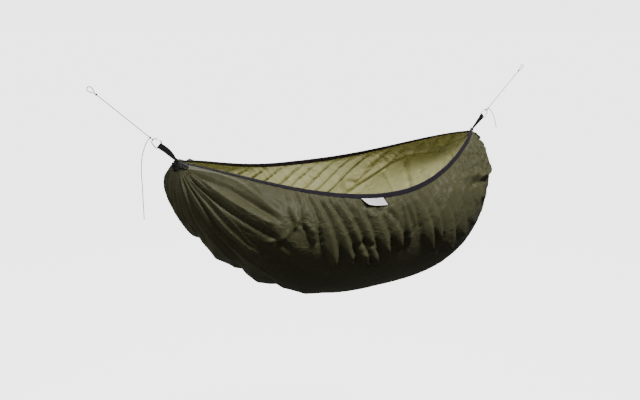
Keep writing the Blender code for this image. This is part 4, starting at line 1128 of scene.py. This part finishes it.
def fineCloth(made, points, grid, relief, patches):
    # On the fine grid the cloth takes its named folds and, in patches, its crumples; it is cut
    # longer where it is crumpled, and relaxed again.
    _, leaning, a, _, _, _, normal = grid
    facets = crumples(leaning * pace["along"], a * pace["over"], made["crumpleSize"],
                      made["crumpleSeed"])
    relief = relief + made["crumple"] * patches * facets
    bed = moved(resample(points, *made["fine"]), normal, relief)
    waves = made["fineWaves"] * planeWaves(leaning, a, (30, 24), made["waveSeed"] + 1, 40)
    slack = made["slack"] + made["crumpledSlack"] * patches
    return relaxCloth(bed, normal, moved(bed, normal, waves), cutLengths(bed, slack, slack),
                      made["play"], made["play"], **relaxing["fine"])


def clothPiece(name, points, finish, facesOut):
    # The cloth as a mesh, whose uv is its length along and across.
    faces = gridFaces(*points.shape[:2])
    flat = np.stack([lengthsAlong(points, 0), lengthsAlong(points, 1)], -1)
    return meshPiece(name, points, faces[:, ::-1] if facesOut else faces, finishes[finish], flat)


def liningDepth(s, a, q):
    # How deep the lining lies inside the form: thin at the hem, full over the fill, pulled in at
    # the quilting seams, and never more than a share of the room near the necks.
    depth = lining["atHem"] + lining["loft"] * smooth(q, 0.012, 0.24)
    for seam in lining["seams"]:
        pull = bump(s, seam, lining["seamWidth"]) * smooth(q, 0.10, 0.35)
        depth = depth - lining["seamDepth"] * pull
    return np.minimum(depth, lining["atHem"] + 0.34 * roomAt(s))


def underLabel(s, a):
    # 1 under the label and a little beyond it, and 0 elsewhere.
    wide = 1 - smooth(np.abs(s - label["station"]), label["half"] + 0.004, label["half"] + 0.022)
    low = label["top"] + label["height"]
    return wide * (1 - smooth((1 + a) * pace["over"], low + 0.004, low + 0.020))


def shellRelief(s, leaning, a, q):
    # The gathered cloth of both sides hangs out over the belly as a lip, whose edge follows the
    # tips of the gathered folds. Those of the far side are the near side's turned round, and the
    # fans are the same on both. Beside the left neck of the near side the cloth is calm; towards
    # the right neck it lies deeper all round and has a hollow half way down.
    station = np.where(a < 0, s, -s)
    folds, reach = gatheredRelief(shell, station, q)
    reach = reach + 0.012 * planeWaves(s, a, (12, 3), shell["seed"] + 5)
    lip = shell["lip"] * smooth(q, 0.02, 0.24) * (1 - smooth(q, reach - 0.015, reach + 0.045))
    lip = lip * smooth(station, *shell["lipFrom"]) * (1 - smooth(station, *shell["lipTo"]))
    calm = smooth(-station, *shell["calmFrom"])
    small = puckers(shell, leaning, a, q) * (1 - calm) * (1 - smooth(np.abs(s), *shell["puckersTo"]))
    fans = foldRelief(shell["fans"], s, a) + foldRelief(shell["fans"], s, -a)
    single = foldRelief(shell["folds"], s, a)
    room = np.minimum(1, 0.25 + 3.2 * roomAt(s))
    total = lip + folds + small + (fans + single) * room * smooth(q, 0.01, 0.06)
    total = total - shell["sunk"] * smooth(s, *shell["sunkFrom"]) * smooth(q, 0.05, 0.2)
    total = total - shell["hollow"] * smooth(s, *shell["hollowFrom"]) * bump(np.abs(a), 0.46, 0.24)
    return total * (1 - underLabel(s, a)), calm


def buildShell():
    # The coarse cloth buckles; the fine one takes the relief, and is kept clear of the lining and
    # within a furthest distance of the form.
    grid = clothGrid(shell, "coarse")
    s, _, _, q, _, form, _ = grid
    fan = shell["fanLeft"] * smooth(-s, 0.15, 0.95) + shell["fanRight"] * smooth(s, 0.4, 1.0)
    outMost = shell["outMost"] * smooth(q, 0.01, 0.16)
    inMost = shell["inMost"] * smooth(q, 0.01, 0.25) * smooth(roomAt(s), 0.0, 0.12)
    points = coarseCloth(shell, form, grid, fan * smooth(q, 0.0, 0.12), outMost, inMost)
    grid = clothGrid(shell, "fine")
    s, leaning, a, q, _, form, normal = grid
    relief, calm = shellRelief(s, leaning, a, q)
    patches = smooth(planeWaves(leaning, a, (2.5, 2.5), shell["waveSeed"] + 3), -0.6, 0.9)
    patches = np.maximum(patches, 1.5 * smooth(s, 0.40, 0.52)) * smooth(q, 0.012, 0.08)
    patches = patches * (1 - 0.7 * smooth(q, 0.35, 0.6)) * (1 - 0.6 * calm) * (1 - underLabel(s, a))
    points = fineCloth(shell, points, grid, relief, patches)
    belowHem = smooth(q, 0.012, 0.03)
    deepest = shell["depthShare"] * liningDepth(s, a, q) - shell["liningGap"]
    points = keepWithin(points, form, normal, -deepest * belowHem,
                        0.0004 + shell["furthest"] * belowHem)
    return dress(clothPiece("outerShell", points, "shell", True), "hammock", "shell", "outer_shell")


def liningRelief(s, leaning, a, q):
    # The diagonal puffs stand into the pouch, so they count against the outward normal.
    station = np.where(a > 0, s, -s)
    puffs, _ = gatheredRelief(lining, station, q)
    small = puckers(lining, leaning, a, q)
    return foldRelief(lining["folds"], s, a) - (puffs + small) * smooth(roomAt(s), 0.02, 0.14)


def buildLining():
    # Made as the shell is, on a bed that lies liningDepth inside the form.
    grid = clothGrid(lining, "coarse")
    s, _, a, q, _, form, outwards = grid
    outMost = lining["outMost"] * smooth(q, 0.02, 0.25) * smooth(roomAt(s), 0.02, 0.12)
    inMost = lining["inMost"] * smooth(q, 0.01, 0.12) * smooth(roomAt(s), 0.02, 0.10)
    fan = lining["fan"] * smooth(np.abs(s), 0.3, 0.95) * smooth(q, 0.0, 0.15)
    bed = moved(form, outwards, -liningDepth(s, a, q))
    points = coarseCloth(lining, bed, grid, fan + 0.02, outMost, inMost)
    grid = clothGrid(lining, "fine")
    s, leaning, a, q, _, form, outwards = grid
    patches = smooth(planeWaves(leaning, a, (2.5, 2.5), lining["waveSeed"] + 3), -0.3, 1.1)
    patches = patches * smooth(q, 0.012, 0.08)
    points = fineCloth(lining, points, grid, liningRelief(s, leaning, a, q), patches)
    depth = liningDepth(s, a, q)
    points = keepWithin(points, form, outwards, -(depth + lining["furthest"]),
                        -lining["depthShare"] * depth)
    panels = ["insulation_panel_%d" % number for number in range(1, 6)]
    return dress(clothPiece("innerLining", points, "lining", False), "hammock", "lining",
                 "inner_lining", *panels)


shellPiece = buildShell()
print("shell folded")
liningPiece = buildLining()
print("lining folded")


# Edge bindings: folded tape over both cloth edges, gathered by the elastic inside it
tape = dict(stations=(-0.955, 0.955), steps=520, leg=0.0130, half=0.0038, top=0.0072,
            pucker=0.00045, gathers=170, inset=0.0013, walls=(1.0, 0.62))


def buildBinding(name, across, hemSide):
    # Profile: up the outer leg, round the fold and down the inner leg, then back inside it; its
    # width swells by pucker * |sin| for each gather of the elastic.
    station = np.linspace(*tape["stations"], tape["steps"])
    low = acrossBelow(station, tape["leg"])
    hem = pouchPoint(station, across)
    foot = pouchPoint(station, across * low)
    way = unit(hem - foot)
    out = pouchNormal(station, across * 0.999)
    centre = hem - tape["inset"] * out
    footCentre = foot - tape["inset"] * out
    turn = np.linspace(0, math.pi, 9)[None, :, None]
    ripple = 1 + tape["pucker"] / tape["half"] * (
        np.abs(np.sin(station * tape["gathers"])) - 0.5
        + 0.4 * planeWaves(station, 0 * station, (60, 0), 31 + hemSide))
    skins = []
    for wall in tape["walls"]:
        half = (tape["half"] * ripple * wall)[:, None, None]
        arch = (centre[:, None] + half * np.cos(turn) * out[:, None]
                + tape["top"] * wall * np.sin(turn) * way[:, None])
        legs = [footCentre[:, None] + half * out[:, None], arch,
                footCentre[:, None] - half * out[:, None]]
        skins.append(np.concatenate(legs, axis=1))
    piece = slabPiece(name + "EdgeBinding", skins[0], skins[1], finishes["binding"])
    dress(piece, "hammock", "binding", name + "_edge_binding", name + "_edge_elastic")


buildBinding("near", -1, 0)
buildBinding("far", 1, 1)
print("bindings made")


# Neck bands: the cloth gathered under the cord wrap, with a ruffled lip and a pleated skirt
neck = dict(
    lip=0.018, waist=0.0050, flare=1.5, wall=0.0008, standOff=0.0016, pleats=15, reach=0.955,
    ruffle=0.0022, waver=0.006, skirtStart=0.985,
    wrapStart=0.0085, wrapCord=0.0020, wrapTurns=3, wrapPitch=0.0024, wrapGap=0.0011,
    left=dict(finish="casing", skirt=0.955, atHem=0.84, lift=0.0, depth=0.0045, seed=41),
    right=dict(finish="flap", skirt=0.945, atHem=0.945, lift=0.010, depth=0.0040, seed=47),
)


def buildNeck(name, side):
    # t runs from the lip over the wrapped waist to the skirt's edge; pleats are waves round the
    # neck whose depth grows down the skirt, and the lip stands open in a ruffle.
    own = neck[name]
    around = np.linspace(-neck["reach"], neck["reach"], 181)
    turn = 0.5 * math.pi + around * math.pi
    shift = 1.2 * planeWaves(around, 0 * around, (1.5, 0), own["seed"])
    pleat = 0.5 + 0.5 * np.sin(neck["pleats"] * math.pi * around + shift)
    wrapEnd = neck["wrapStart"] + neck["wrapTurns"] * neck["wrapPitch"] + neck["wrapCord"]
    roundOut = place(side, 0.0, -np.sin(turn), -np.cos(turn)) - place(side, 0.0, 0.0)
    rings = []
    for share in np.linspace(0, 1, 5):
        along = neck["lip"] + (wrapEnd - neck["lip"]) * share
        wide = neck["waist"] * (1 + (neck["flare"] - 1) * (1 - share) ** 1.5)
        ruffle = neck["ruffle"] * (1 - share) * (pleat - 0.5)
        rings.append(place(side, along + ruffle, 0.0) + (wide + ruffle)[:, None] * roundOut)
    for share in (0.0, 0.5, 1.0):
        along = wrapEnd + (neck["wrapStart"] - 0.001 - wrapEnd) * share
        rings.append(place(side, along, 0.0) + neck["waist"] * roundOut)
    waistRing = rings[-1]
    edge = own["skirt"] + (own["atHem"] - own["skirt"]) * smooth(np.abs(around), 0.55, 0.9)
    edge = edge + neck["waver"] * planeWaves(around, 0 * around, (3, 0), own["seed"] + 1)
    for share in np.linspace(0.12, 1, 10):
        station = side * (neck["skirtStart"] + (edge - neck["skirtStart"]) * share)
        normal = pouchNormal(station, around)
        body = pouchPoint(station, around)
        lift = own["lift"] * bump(around, 0.0, 0.35) * share ** 2
        rise = neck["standOff"] + own["depth"] * pleat * smooth(share, 0, 1) + lift
        skirt = body + rise[:, None] * normal
        hold = smooth(share, 0.0, 0.35)
        rings.append(waistRing * (1 - hold) + skirt * hold)
    outer = np.array(rings)
    normal = gridNormal(outer)
    if np.einsum("ijk,ijk->", normal[:6], np.broadcast_to(roundOut, normal[:6].shape)) < 0:
        normal = -normal
    piece = slabPiece(name + "NeckBand", outer + neck["wall"] * normal, outer,
                      finishes[own["finish"]])
    dress(piece, "hammock", "casing", name + "_end_casing")
    coil = neck["waist"] + neck["wrapGap"] + neck["wrapCord"] / 2
    steps = np.linspace(0, neck["wrapTurns"], neck["wrapTurns"] * 36 + 1)
    turn = 2 * math.pi * steps
    path = place(side, neck["wrapStart"] + neck["wrapCord"] / 2 + neck["wrapPitch"] * steps,
                 coil * np.cos(turn), coil * np.sin(turn))
    wrap = roundedTube(name + "NeckWrap", path, neck["wrapCord"] / 2, 10,
                       outward(side, ends["strapAngle"]), finishes["cord"])
    dress(wrap, "hammock", "cord", name + "_neck_wrap")


for endName in ("left", "right"):
    buildNeck(endName, ends[endName])
print("necks made")


def buildLabel():
    # u runs along the label and v down it. Its distance from the shell is a stand-off + fall * v^2
    # + curl * v (1 - u)^3 and a slow wave; the shear to the right grows with v, and the curling
    # corner comes up a little.
    u = np.linspace(0, 1, 41)[:, None]
    v = np.linspace(0, 1, 19)[None, :]
    corner = v * (1 - u) ** 3
    station = label["station"] + (2 * u - 1) * label["half"] + label["skew"] * v * (1 + 0.5 * corner)
    across = -acrossBelow(station, label["top"] + label["height"] * v * (1 - label["lift"] * corner))
    rise = (label["standOff"] + label["fall"] * v ** 2 + label["curl"] * corner
            + label["wave"] * v * np.sin(9 * u + 1.0))
    base, normal = pouchPoint(station, across), pouchNormal(station, across)
    outer = base + (rise + label["thickness"])[..., None] * normal
    piece = slabPiece("careLabel", outer, base + rise[..., None] * normal, finishes["label"])
    dress(piece, "hammock", "label", "care_label")


buildLabel()
print("label made")


# Pale studio: a key from the upper front, a weak fill, and lights from the left and from behind
studio = dict(
    floorHeight=-2.6, floorSize=600, aim=(1.05, 0.0, -0.55), background=3.4, ambient=0.12,
    # name, azimuth, elevation, distance, size, energy
    lamps=(("keyLight", 14, 56, 3.4, 0.6, 134), ("fillLight", -60, 25, 4.0, 2.5, 6),
           ("leftLight", -104, 16, 4.0, 1.6, 36), ("backLight", 160, 42, 4.2, 2.0, 85)),
)


def makeStage():
    # The floor glows as brightly as the world that the camera sees, so no horizon shows; all else
    # is lit by the dim world and the lamps, which stand at their distance from the aim and face it.
    bpy.ops.mesh.primitive_plane_add(size=studio["floorSize"],
                                     location=(1.0, 0, studio["floorHeight"]))
    floor = bpy.context.object
    floor.name = "floor"
    material, tree, shader = newMaterial("paleFloor")
    feedAll(tree, shader, {"Base Color": (0.85, 0.85, 0.85, 1), "Roughness": 0.9,
                           "Emission Color": (1, 1, 1, 1), "Emission Strength": studio["background"]})
    floor.data.materials.append(material)
    floor.visible_diffuse = floor.visible_glossy = False
    world = bpy.data.worlds.new("studio")
    bpy.context.scene.world = world
    world.use_nodes = True
    tree = world.node_tree
    seen = addNode(tree, "LightPath").outputs["Is Camera Ray"]
    strength = addNode(tree, "MapRange", {"Value": seen, "To Min": studio["ambient"],
                                          "To Max": studio["background"]})
    feedAll(tree, tree.nodes["Background"], {"Color": (1, 1, 1, 1),
                                             "Strength": strength.outputs["Result"]})
    for name, azimuth, elevation, distance, size, energy in studio["lamps"]:
        data = bpy.data.lights.new(name, "AREA")
        data.size, data.energy = size, energy
        lamp = addObject(name, data)
        turn, rise = math.radians(azimuth), math.radians(elevation)
        back = Vector((math.sin(turn) * math.cos(rise), -math.cos(turn) * math.cos(rise),
                       math.sin(rise)))
        lamp.location = Vector(studio["aim"]) + distance * back
        lamp.rotation_euler = (-back).to_track_quat("-Z", "Y").to_euler()


makeStage()
print("stage made")
